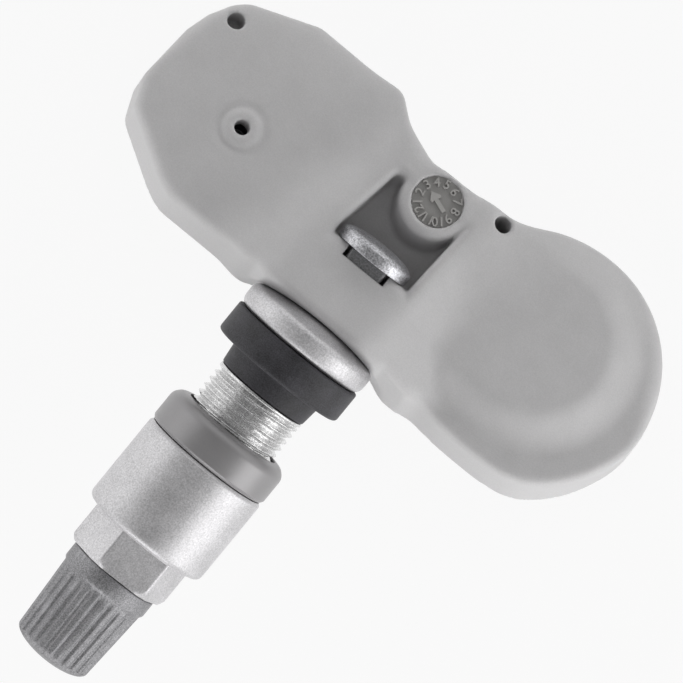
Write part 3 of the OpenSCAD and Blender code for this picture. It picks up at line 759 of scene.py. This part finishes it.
    def field(self, x: np.ndarray, row_y: np.ndarray, row_z: np.ndarray) -> np.ndarray:
        """The whole housing: the outer form less the pocket, the dial, the seat, the slot and the holes.

        Args:
            x: Places along x.
            row_y: Places along y, in the row's frame.
            row_z: Places along z, in the row's frame.

        Returns:
            A field that is negative inside the housing.
        """
        y, z = self.own(row_y, row_z)
        plan = self.plan(x, y, z)
        solid = self.body(x, y, z, plan)
        reach = np.sqrt(x**2 + (row_y - self.swivel) ** 2 + row_z**2)
        wall_l = np.interp(y, [2.5, self.pocket_back], [-self.pocket_w, 1.3 - self.pocket_w])
        wall_r = np.interp(y, [-3.0, self.pocket_back + 1], [self.pocket_w, self.pocket_w + 0.75])
        pocket = soft_max(soft_max(wall_l - x, x - wall_r, 0.4), self.pocket_r - reach, 0.4)
        pocket = soft_max(soft_max(pocket, y - self.pocket_back, 0.8), -self.pocket_floor - row_z, 0.6)
        solid = soft_max(solid, -pocket, 1.1)
        post = np.hypot(x - self.dial_at[0], y - self.dial_at[1])
        boss = soft_max(soft_max(post - self.boss_r, z - self.boss_h, 1.3), plan, 1.0)
        boss = np.maximum(boss, 4.0 - z)
        solid = soft_min(solid, boss, 0.5)
        dial = np.maximum(post - self.dial_r, self.boss_h - self.dial_depth - z)
        solid = soft_max(solid, -dial, 0.12)
        solid = soft_max(solid, self.seat_r - reach, 0.25)
        slot = np.maximum(row_z - self.slot_up, -self.slot_down - row_z)
        slot = np.maximum(np.abs(x) - self.slot_w / 2, slot)
        slot = np.maximum(slot, np.maximum(row_y - 17.5, 5.0 - row_y))
        solid = soft_max(solid, -slot, 0.12)
        port = np.hypot(x - self.port_at[0], y - self.port_at[1])
        solid = soft_max(solid, -np.maximum(port - self.port_r, 2.5 - z), 0.3)
        for at_x, at_y in self.holes_at:
            hole = np.hypot(x - at_x, y - at_y)
            solid = soft_max(solid, -np.maximum(hole - self.hole_r, self.hole_floor - z), 0.3)
        return np.maximum(solid, -self.hollow(x, y, z))

    def build(self, wardrobe: Wardrobe) -> None:
        """Skins the housing and sets the dial into its boss."""
        low, high = (np.array(c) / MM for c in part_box("housing_shell"))
        step = self.step
        skin = net("housing_skin", self.field, low - 0.8, high + 0.8, step)
        wardrobe.dress(skin, Look.HOUSING, "housing", "housing", "housing_shell")
        # The dial face: its own grey with a little painted shade.
        wardrobe.dress(self.dial(), Look.DIAL_WITH_PAINTED_SHADE, "housing", "housing")
        # The numerals get the lighter copy of the dial's grey, a painted highlight.
        wardrobe.dress(self.numerals(), Look.NUMERAL_PAINTED_HIGHLIGHT, "housing", "housing")

    def dial(self) -> bpy.types.Object:
        """The dial's round face: a disc with a rounded rim, 0.12 mm high on the recess's floor."""
        rim = self.dial_r - 0.05
        bottom, face = self.boss_h - self.dial_depth - 0.3, self.boss_h - self.dial_depth + 0.1
        profile = rounded([(AXIS, bottom), (rim, bottom), (rim, face, 0.08), (AXIS, face)], 4)
        angle = np.linspace(0.0, 2.0 * math.pi, 96, endpoint=False)[None, :]
        r, h = profile[:, 0][:, None], profile[:, 1][:, None]
        x, y = self.dial_at[0] + r * np.cos(angle), self.dial_at[1] + r * np.sin(angle)
        points = np.stack([x, y, np.broadcast_to(h, x.shape)], -1).reshape(-1, 3)
        return mesh_piece("dial_face", self.placed(points), ring_faces(len(profile), 96, True))

    def numerals(self) -> bpy.types.Object:
        """The raised hours 1 to 12 round the dial, and the pointer in its middle.

        Hour h stands at the angle first - 30 h degrees with its foot towards the middle. The pointer is a
        closed outline raised by the same height.

        Returns:
            One mesh with all of them.
        """
        height, size, ring, first, pointer = 0.3, 1.5, 2.16, 219.4, 69.5
        base = np.array([*self.dial_at, self.boss_h - self.dial_depth + 0.08])
        parts: list[tuple[np.ndarray, list[list[int]]]] = []

        def leaning(points: np.ndarray, lean: float) -> np.ndarray:
            """Points turned by an angle about the dial's middle."""
            c, s = math.cos(lean), math.sin(lean)
            x, y, z = points.T
            return np.stack([x * c - y * s, x * s + y * c, z], -1) + base

        for hour in range(1, 13):
            flat, faces = letter_mesh(str(hour), size, height)
            lean = math.radians(first - 30.0 * (hour - 1)) - math.pi / 2
            parts.append((leaning(flat + (0.0, ring, 0.0), lean), faces))
        half = np.array([(0.24, -1.3), (0.24, 0.3), (0.6, 0.2), (0.66, 0.48), (0.0, 1.35)])
        outline = np.concatenate([half, half[-2::-1] * (-1.0, 1.0)])
        n, k = len(outline), np.arange(len(outline))
        low = np.column_stack([outline, np.zeros(n)])
        points = leaning(np.concatenate([low, low + (0.0, 0.0, height)]), math.radians(pointer))
        sides = np.stack([k, (k + 1) % n, (k + 1) % n + n, k + n], -1).tolist()
        parts.append((points, sides + [list(range(n, 2 * n)), list(range(n - 1, -1, -1))]))
        return joined("dial_numerals", [(self.placed(p), f) for p, f in parts])


def letter_mesh(text: str, size: float, height: float) -> tuple[np.ndarray, list[list[int]]]:
    """Raised type with its middle at the origin.

    Args:
        text: The type.
        size: Height of the type in millimetres.
        height: How far it stands up.

    Returns:
        Its points in millimetres and its faces.
    """
    curve = bpy.data.curves.new("type", "FONT")
    curve.body, curve.size = text, size
    curve.align_x, curve.align_y = "CENTER", "CENTER"
    curve.extrude, curve.resolution_u, curve.offset = height / 2, 3, 0.015
    made = linked("type", curve)
    bpy.context.view_layer.update()
    mesh = made.evaluated_get(bpy.context.evaluated_depsgraph_get()).to_mesh()
    points = np.empty(len(mesh.vertices) * 3, np.float32)
    mesh.vertices.foreach_get("co", points)
    faces = [list(p.vertices) for p in mesh.polygons]
    bpy.data.objects.remove(made)
    bpy.data.curves.remove(curve)
    flat = points.reshape(-1, 3).astype(float)
    flat[:, 2] += height / 2
    return flat, faces


def joined(name: str, parts: Sequence[tuple[np.ndarray, list[list[int]]]]) -> bpy.types.Object:
    """One piece from several sets of points in millimetres and faces."""
    points, faces, start = [], [], 0
    for part, its_faces in parts:
        points.append(part)
        faces += [[v + start for v in face] for face in its_faces]
        start += len(part)
    mesh = bpy.data.meshes.new(name)
    mesh.from_pydata((np.concatenate(points) * MM).tolist(), [], faces)
    mesh.validate()
    return linked(name, mesh)


@dataclass(frozen=True)
class Valve:
    """The valve's metal body, its rubber seal, the bolt in its foot and the spring in its core.

    Attributes:
        foot_top, foot_r, foot_face: Height of the foot's dome, its radius, and the place of its front.
        ball_r: Radius of the ball that the dome is part of.
        thread_r, thread_end, thread_pitch, thread_depth: The large thread.
        stem_r, stem_end, stem_pitch, stem_depth: The stem and its thread.
        neck_r: Radius of the neck in the seal.
        air_r, core_r: Radii of the air bore and of the core's bore.
        core_step, core_low: Stations of the core's seat and of its inner end.
        seal_r, seal_neck_r, seal_neck: The seal's two radii and the length of its neck.
        bolt_r, head_r, head_at: Radii of the bolt's shank and head, and the head's place.
        head_rim, head_dome: Heights of the head's rim and of its domed top.
        square: Width of the bolt's square neck.
        spring_seat, spring_l: Place of the spring's fixed end, and its length.
        spring_r, spring_wire, spring_turns: Radius of the coil and of its wire, and the coil's turns.
        press: How far the core is pressed. Not used.
    """

    foot_top: float = 7.9
    foot_r: float = 8.2
    foot_face: float = 3.75
    ball_r: float = 22.9
    thread_r: float = 5.57
    thread_end: float = 17.0
    thread_pitch: float = 0.907
    thread_depth: float = 0.54
    stem_r: float = 3.85
    stem_end: float = 37.4
    stem_pitch: float = 0.794
    stem_depth: float = 0.36
    neck_r: float = 4.3
    air_r: float = 1.4
    core_r: float = 2.6
    core_step: float = 31.2
    core_low: float = 25.0
    seal_r: float = 8.15
    seal_neck_r: float = 5.65
    seal_neck: float = 2.5
    bolt_r: float = 2.35
    head_r: float = 4.55
    head_at: float = 16.5
    head_rim: float = 0.95
    head_dome: float = 0.85
    square: float = 4.8
    spring_seat: float = 26.0
    spring_l: float = 7.0
    spring_r: float = 0.92
    spring_wire: float = 0.2
    spring_turns: int = 6
    press: float = 1.0

    def dome(self, radius: float) -> float:
        """Station of the foot's dome at a radius: centre - sqrt(ball^2 - r^2)."""
        return self.ball_r - self.foot_top - math.sqrt(self.ball_r**2 - radius**2)

    def foot(self) -> bpy.types.Object:
        """The valve's round foot, whose back is part of a ball."""
        hole = self.bolt_r + 0.05
        radii = np.linspace(hole + 0.15, self.foot_r - 0.9, 12)
        profile = rounded([
            (hole, -self.foot_face), (hole, self.dome(hole) + 0.12), *[(r, self.dome(r)) for r in radii],
            (self.foot_r, self.dome(self.foot_r), 0.7), (self.foot_r, -self.foot_face, 1.2),
        ], 8)
        return turned("valve_foot", profile, 144, None, 50.0)

    def stem(self) -> bpy.types.Object:
        """The turned body above the foot: neck, large thread and stem, with its bores.

        Returns:
            The piece.
        """
        hole = self.bolt_r + 0.05
        outer = rounded([
            (hole, -self.foot_face), (self.neck_r, -self.foot_face),
            (self.neck_r, self.seal_neck + 0.05), (self.thread_r, self.seal_neck + 0.05, 0.25),
            (self.thread_r, self.thread_end, 0.3), (self.stem_r, self.thread_end, 0.2),
            (self.stem_r, self.stem_end, 0.4), (self.core_r + 0.3, self.stem_end, 0.1),
            (self.core_r, self.stem_end - 0.35), (self.core_r, self.core_step),
            (self.core_r - 0.6, self.core_step - 1.4), (self.core_r - 0.6, self.core_low - 4.0),
            (self.air_r, self.core_low - 4.5), (self.air_r, -2.6), (hole, -2.6),
        ], 6)
        start = self.seal_neck + 0.3
        profile = filled(outer, self.thread_pitch / 14.0, start, self.stem_end)
        large = thread(self.thread_r, self.thread_depth, self.thread_pitch, start, self.thread_end - 0.3)
        low, high = self.thread_end + 0.3, self.stem_end - 0.3
        small = thread(self.stem_r, self.stem_depth, self.stem_pitch, low, high)

        def shape(radius: np.ndarray, station: np.ndarray, angle: np.ndarray) -> np.ndarray:
            """Both threads in one."""
            return large(radius, station, angle) + small(radius, station, angle) - radius

        return turned("valve_stem", profile, 144, shape, 50.0)

    def seal(self) -> bpy.types.Object:
        """The rubber seal: a flange and a neck that tapers a little."""
        inner = self.neck_r + 0.02
        neck = self.seal_neck_r
        profile = rounded([
            (inner, -self.foot_face), (self.seal_r, -self.foot_face, 0.25), (self.seal_r, 0.0, 0.5),
            (neck + 0.25, 0.0, 0.1), (neck + 0.15, 0.35), (neck - 0.05, 2.2),
            (neck - 0.1, self.seal_neck, 0.15), (inner, self.seal_neck),
        ], 5)
        return turned("seal_ring", filled(profile, 0.4), 144)

    def bolt_head(self) -> bpy.types.Object:
        """The bolt's head, hollow below to lie on the pocket's round wall, with its threaded shank."""
        under = self.ball_r + 8.6
        centre = self.ball_r - self.foot_top
        rim = self.head_r
        dish = [(r, -(math.sqrt(under**2 - r**2) - centre)) for r in np.linspace(2.2, rim - 0.2, 6)]
        top, low, turns = -(self.head_at + self.head_rim), rim - 0.2, np.linspace(0.12, 1.5, 10)
        crown = [(low * math.cos(a), top - self.head_dome * math.sin(a)) for a in turns]
        shank = self.bolt_r
        profile = rounded([
            (AXIS, -4.6), (shank - 0.3, -4.6), (shank, -4.9), (shank, -9.9), (2.2, -9.9),
            *dish, (rim, dish[-1][1] + 0.05, 0.15), (rim, top, 0.25), *crown, (AXIS, top - self.head_dome),
        ], 4)
        shape = thread(shank, 0.3, 0.8, -9.6, -4.9)
        return turned("bolt_head", filled(profile, 0.25), 112, shape, 45.0)

    def bolt_neck(self) -> bpy.types.Object:
        """The square neck: a superellipse |x|^n + |z|^n = 1 with n = 14, carried along the bolt."""
        angle = np.linspace(0.0, 2.0 * math.pi, 96, endpoint=False)[None, :]
        c, s = np.cos(angle), np.sin(angle)
        radius = self.square / 2 / (np.abs(c) ** 14 + np.abs(s) ** 14) ** (1 / 14)
        share = np.array([0.02, 0.96, 1.0, 1.0, 0.96, 0.02])[:, None]
        station = np.array([-9.9, -9.9, -10.1, -16.7, -16.9, -16.9])[:, None]
        x, z = radius * share * s, radius * share * c
        points = np.stack([x, np.broadcast_to(-station, x.shape), z], -1).reshape(-1, 3)
        return mesh_piece("bolt_neck", points, ring_faces(len(share), 96, True))

    def spring(self) -> bpy.types.Object:
        """The valve core's coil spring, whose end coils lie closer together.

        At t of the wire's length its middle stands at the angle 2 pi turns t, and at the station
        low + rise (t - 0.6 sin(2 pi t) / (2 pi)).

        Returns:
            The piece.
        """
        rows, sides = self.spring_turns * 30 + 1, 8
        t = np.linspace(0.0, 1.0, rows)[:, None]
        turn = np.linspace(0.0, 2.0 * math.pi, sides, endpoint=False)[None, :]
        low, rise = self.spring_seat + self.spring_wire + 0.05, self.spring_l - 2.0 * self.spring_wire - 0.1
        radius = self.spring_r + self.spring_wire * np.cos(turn) + 0.0 * t
        station = low + rise * (t - 0.6 * np.sin(2.0 * math.pi * t) / (2.0 * math.pi))
        station = station + self.spring_wire * np.sin(turn)
        points = around(radius, station, 2.0 * math.pi * self.spring_turns * t)
        cut = np.array([(0, k, k + 1, k + 2) for k in range(1, sides - 1, 2)])
        faces = np.concatenate([ring_faces(rows, sides, False), cut, cut[:, ::-1] + (rows - 1) * sides])
        return mesh_piece("core_coil", points, faces, 60.0)

    def build(self, wardrobe: Wardrobe) -> None:
        """Makes the valve's pieces."""
        wardrobe.dress(self.foot(), Look.SATIN, "valve", "valve_metal", "valve_body")
        wardrobe.dress(self.stem(), Look.THREAD, "valve", "valve_metal", "valve_body")
        wardrobe.dress(self.seal(), Look.RUBBER, "valve", "seal_rubber", "rim_seal")
        wardrobe.dress(self.bolt_head(), Look.ZINC, "valve", "bolt_metal", "clamp_bolt")
        wardrobe.dress(self.bolt_neck(), Look.NECK, "valve", "bolt_metal", "clamp_bolt")
        coil = wardrobe.dress(self.spring(), Look.SPRING, "valve", "spring_steel", "core_spring")
        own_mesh(coil)


@dataclass(frozen=True)
class NutAndCollar:
    """The collar, the union nut and the dust cap on the valve's stem.

    Attributes:
        collar_at, collar_end: Stations of the collar's ends.
        sleeve_r: Outer radius of the collar and of the nut's sleeve.
        bore_r, spigot_r: Radii of the collar's bore and spigot.
        nut_at, hex_at, nut_end: Stations of the nut's start, of its hexagon and of its end.
        hex_w, hex_turn: The hexagon's width across its flats, and the angle it stands at.
        mouth_r, nut_bore_r: Radii of the nut's bore at its end and round the large thread.
        cap_at, cap_l: Station of the cap's open end, and the cap's length.
        ring_r, ring_l: Radius and length of the cap's plain ring.
        cap_r, tip_r: Radius of the fluted part at its start and at its domed end.
        cap_wall_r: Radius of the cap's hollow.
        flutes, flute_depth: Number and depth of the grooves.
    """

    collar_at: float = 7.6
    collar_end: float = 12.1
    sleeve_r: float = 7.65
    bore_r: float = 5.9
    spigot_r: float = 6.6
    nut_at: float = 12.2
    hex_at: float = 23.05
    nut_end: float = 27.85
    hex_w: float = 11.0
    hex_turn: float = 10.6
    mouth_r: float = 4.15
    nut_bore_r: float = 5.64
    cap_at: float = 27.95
    cap_l: float = 12.2
    ring_r: float = 5.4
    ring_l: float = 1.9
    cap_r: float = 5.15
    tip_r: float = 4.68
    cap_wall_r: float = 3.9
    flutes: int = 24
    flute_depth: float = 0.22

    def collar(self) -> bpy.types.Object:
        """The smooth collar with its broadly rounded front edge, and the spigot that the nut turns on."""
        start, end, outer = self.collar_at, self.collar_end, self.sleeve_r
        profile = rounded([
            (self.bore_r, start), (self.bore_r + 0.3, start, 0.1), (outer - 0.7, start + 0.2, 0.35),
            (outer, start + 0.95, 0.5), (outer, end - 0.45, 0.1), (outer - 0.25, end - 0.1),
            (self.spigot_r, end), (self.spigot_r, end + 1.0), (self.bore_r, end + 1.0),
        ], 8)
        return turned("collar_sleeve", profile, 160)

    def nut(self) -> bpy.types.Object:
        """The nut: a sleeve, and a hexagon with chamfered corners.

        The hexagon's radius is (w / 2) / cos(b), with b the angle from the middle of the nearest flat,
        and it is held below a cone that falls from the corners to the end face.

        Returns:
            The piece.
        """
        start, mid, end, outer = self.nut_at, self.hex_at, self.nut_end, self.sleeve_r
        flat, recess = self.hex_w / 2, self.spigot_r + 0.1
        corner = flat / math.cos(math.pi / 6)
        profile = filled(rounded([
            (recess, start - 0.08), (outer - 0.3, start - 0.08, 0.05), (outer, start + 0.3, 0.1),
            (outer, mid, 0.9), (corner + 0.3, mid, 0.1), (corner + 0.3, mid + 0.15), (corner, mid + 0.3),
            (corner, end - 0.6), (flat + 0.35, end), (self.mouth_r + 0.05, end, 0.1),
            (self.mouth_r, mid - 0.8), (self.nut_bore_r, mid - 0.8), (self.nut_bore_r, start + 1.0),
            (recess, start + 1.0),
        ], 6), 0.5)
        turn = math.radians(self.hex_turn - 30.0)

        def shape(radius: np.ndarray, station: np.ndarray, angle: np.ndarray) -> np.ndarray:
            """Holds the outside of the hexagon's stretch below the hexagon's radius."""
            b = np.mod(angle + turn, math.pi / 3) - math.pi / 6
            hexagon = flat / np.cos(b)
            outside = (radius > 5.0) & (station > mid + 0.1)
            return np.where(outside, soft_min(radius, hexagon, 0.12), radius)

        return turned("nut_sleeve", profile, 252, shape, 30.0)

    def cap(self) -> bpy.types.Object:
        """The dust cap: a plain ring, then ribs between narrow grooves, and a domed end.

        A groove's depth is depth (1 - (b / w)^2) where b is the angle from its middle.

        Returns:
            The piece.
        """
        start, end, hollow = self.cap_at, self.cap_at + self.cap_l, self.cap_wall_r
        ribs, rise = start + self.ring_l + 0.3, 1.5
        turns = np.linspace(0.0, 1.55, 14)
        dome = [(self.tip_r * math.cos(a), end - rise + rise * math.sin(a)) for a in turns]
        profile = rounded([
            (hollow + 0.45, start), (self.ring_r, start, 0.25), (self.ring_r, start + self.ring_l, 0.2),
            (self.cap_r, ribs), *dome, (AXIS, end), (AXIS, end - 1.9), (hollow, end - 1.9),
            (hollow, start + 1.1), (hollow + 0.45, start + 0.6),
        ], 5)
        profile = filled(profile, 0.3, ribs - 0.3, end)
        pitch = 2.0 * math.pi / self.flutes

        def shape(radius: np.ndarray, station: np.ndarray, angle: np.ndarray) -> np.ndarray:
            """Cuts the grooves, which start behind the ring and run out over the domed end."""
            b = np.abs(np.mod(angle, pitch) - pitch / 2) / (0.24 * pitch)
            groove = np.clip(1.0 - b**2, 0.0, 1.0)
            reach = ease((station - ribs - 0.15) / 0.35) * ease((radius - hollow - 0.05) / 0.5)
            return radius - self.flute_depth * groove * reach

        return turned("cap_shell", profile, 14 * self.flutes, shape, 40.0)

    def build(self, wardrobe: Wardrobe) -> None:
        """Makes the collar, the nut and the cap."""
        wardrobe.dress(self.collar(), Look.COLLAR, "collar", "collar_metal", "collar_ring")
        wardrobe.dress(self.nut(), Look.SATIN, "nut", "nut_metal", "union_nut")
        wardrobe.dress(self.cap(), Look.CAP, "cap", "cap_metal", "dust_cap")


class InnerParts:
    """The CAD nodes that keep their shape and get their finish."""

    looks: dict[str, Look] = {
        "base_cover": Look.COVER, "circuit_board": Look.BOARD, "battery_cell": Look.CELL,
        "battery_tab_top": Look.TAB, "battery_tab_base": Look.TAB, "pressure_sensor": Look.CASE,
        "port_seal": Look.RUBBER, "control_chip": Look.CHIP, "crystal": Look.CRYSTAL,
        "wake_up_coil": Look.WINDING, "capacitors": Look.CERAMIC, "aerial_strip": Look.BRASS,
        "cap_gasket": Look.RUBBER, "core_body": Look.BRASS, "core_seal": Look.RUBBER,
        "core_pin": Look.BRASS, "pin_cup": Look.RUBBER,
    }

    def build(self, wardrobe: Wardrobe) -> None:
        """Puts a material on each node."""
        for name, look in self.looks.items():
            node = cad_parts[name]
            node.data.materials.clear()
            node.data.materials.append(wardrobe.of(look))
            LOG.info("%s keeps its CAD shape", name)


@dataclass(frozen=True)
class Studio:
    """Floor, light and camera.

    Attributes:
        lean: Angle of the camera from straight above the stem, towards the housing.
        roll: Angle of the stem in the picture from straight down.
        aim: Point in the middle of the picture.
        span: Width of the picture at that point.
        distance: Distance of the camera from it.
        floor_z: Height of the floor.
        room: Brightness of the room low down and overhead.
        mirrored: The same as metal mirrors it.
    """

    lean: float = 4.0
    roll: float = 39.35
    aim: tuple[float, float, float] = (3.15, 7.25, 0.0)
    span: float = 74.24
    distance: float = 620.0
    floor_z: float = -16.2
    room: tuple[float, float] = (3.1, 0.38)
    mirrored: tuple[float, float] = (0.92, 0.3)

    def camera(self) -> None:
        """Sets the camera: right = cos(roll) X + sin(roll) Y', up = -sin(roll) X + cos(roll) Y'."""
        lean, roll = math.radians(self.lean), math.radians(self.roll)
        back = np.array([0.0, math.sin(lean), math.cos(lean)])
        along = np.array([0.0, math.cos(lean), -math.sin(lean)])
        side = np.array([1.0, 0.0, 0.0])
        right = math.cos(roll) * side + math.sin(roll) * along
        up = -math.sin(roll) * side + math.cos(roll) * along
        place = (np.array(self.aim) + back * self.distance) * MM
        data = bpy.data.cameras.new("camera")
        data.sensor_width = 36.0
        data.lens = data.sensor_width * self.distance / self.span
        data.clip_start, data.clip_end = 0.01, 10.0
        bpy.context.scene.camera = self.posed("camera", data, right, up, back, place)

    def posed(self, name: str, data: bpy.types.ID, *columns: np.ndarray) -> bpy.types.Object:
        """A new object whose matrix has these four columns: right, up, back and its place."""
        made = linked(name, data)
        rows = np.eye(4)
        rows[:3] = np.stack(columns, -1)
        made.matrix_world = Matrix(rows.tolist())
        return made

    def lamp(self, name: str, at: Sequence[float], size: float, power: float) -> None:
        """Adds a square soft box that faces the object.

        Args:
            name: Its name.
            at: Its place from the object's middle, in metres.
            size: Its side in metres.
            power: Its power in watts.
        """
        data = bpy.data.lights.new(name, "AREA")
        data.shape, data.size, data.energy = "SQUARE", size, power
        back = np.array(at) / np.linalg.norm(at)
        right = np.cross((0.0, 0.0, 1.0), back)
        right /= np.linalg.norm(right)
        place = np.array(at) + np.array(self.aim) * MM
        self.posed(name, data, right, np.cross(back, right), back, place)

    def floor(self) -> None:
        """A wide pale floor, mostly white to the camera so that only a faint shadow shows."""
        half = 1500.0
        corners = np.array([(-half, -half, 0.0), (half, -half, 0.0), (half, half, 0.0), (-half, half, 0.0)])
        piece = mesh_piece("floor", corners + (0.0, 0.0, self.floor_z), np.array([[0, 1, 2, 3]]))
        shader = Shader("floor_white")
        shader.bsdf.inputs["Base Color"].default_value = (0.8, 0.8, 0.8, 1.0)
        shader.bsdf.inputs["Roughness"].default_value = 0.9
        glow = shader.node("ShaderNodeEmission", {}, {"Color": (1.0, 1.0, 1.0, 1.0), "Strength": 1.0})
        path = shader.node("ShaderNodeLightPath")
        camera, glossy = (Value(shader, path.outputs[ray]) for ray in ("Is Camera Ray", "Is Glossy Ray"))
        seen = camera * 0.9 + glossy
        mix = shader.node("ShaderNodeMixShader", {}, {0: seen})
        shader.tree.links.new(shader.bsdf.outputs[0], mix.inputs[1])
        shader.tree.links.new(glow.outputs[0], mix.inputs[2])
        output = next(n for n in shader.tree.nodes if n.type == "OUTPUT_MATERIAL")
        shader.tree.links.new(mix.outputs[0], output.inputs[0])
        piece.data.materials.append(shader.material)

    def world(self) -> None:
        """A plain room, bright low down and darker overhead, that is white behind the object."""
        world = bpy.data.worlds.new("room")
        bpy.context.scene.world = world
        world.use_nodes = True
        tree = world.node_tree
        tree.nodes.clear()
        coordinate = tree.nodes.new("ShaderNodeTexCoord")
        part = tree.nodes.new("ShaderNodeSeparateXYZ")
        path = tree.nodes.new("ShaderNodeLightPath")
        tree.links.new(coordinate.outputs["Generated"], part.inputs[0])
        strengths: list[bpy.types.NodeSocket] = []
        for low, high, near, over in ((0.0, 0.3, *self.room), (0.25, 0.95, *self.mirrored)):
            fade = tree.nodes.new("ShaderNodeMapRange")
            fade.interpolation_type = "SMOOTHSTEP"
            for number, value in enumerate((low, high, near, over), 1):
                fade.inputs[number].default_value = value
            tree.links.new(part.outputs["Z"], fade.inputs[0])
            strengths.append(fade.outputs[0])
        last: bpy.types.NodeSocket | None = None
        for strength, ray in zip((*strengths, None), ("", "Is Glossy Ray", "Is Camera Ray")):
            light = tree.nodes.new("ShaderNodeBackground")
            if strength is not None:
                tree.links.new(strength, light.inputs[1])
            light.inputs[0].default_value = (1.0, 1.0, 1.0, 1.0)
            if last is None:
                last = light.outputs[0]
                continue
            mix = tree.nodes.new("ShaderNodeMixShader")
            tree.links.new(path.outputs[ray], mix.inputs[0])
            tree.links.new(last, mix.inputs[1])
            tree.links.new(light.outputs[0], mix.inputs[2])
            last = mix.outputs[0]
        output = tree.nodes.new("ShaderNodeOutputWorld")
        tree.links.new(last, output.inputs[0])

    def build(self) -> None:
        """Sets up the studio."""
        bpy.context.scene.view_settings.view_transform = "Standard"
        self.camera()
        self.floor()
        self.world()
        self.lamp("key_right", (0.66, -0.08, 0.2), 0.6, 1.7)
        self.lamp("fill_left", (-0.66, -0.1, 0.2), 0.7, 0.6)
        self.lamp("front", (0.1, -0.68, 0.18), 0.6, 1.3)


def main() -> None:
    """Builds every piece, then the studio."""
    logging.basicConfig(level=logging.INFO, format="%(message)s")
    wardrobe = Wardrobe()
    Housing().build(wardrobe)
    Valve().build(wardrobe)
    NutAndCollar().build(wardrobe)
    InnerParts().build(wardrobe)
    Studio().build()


if __name__ == "__main__":
    main()
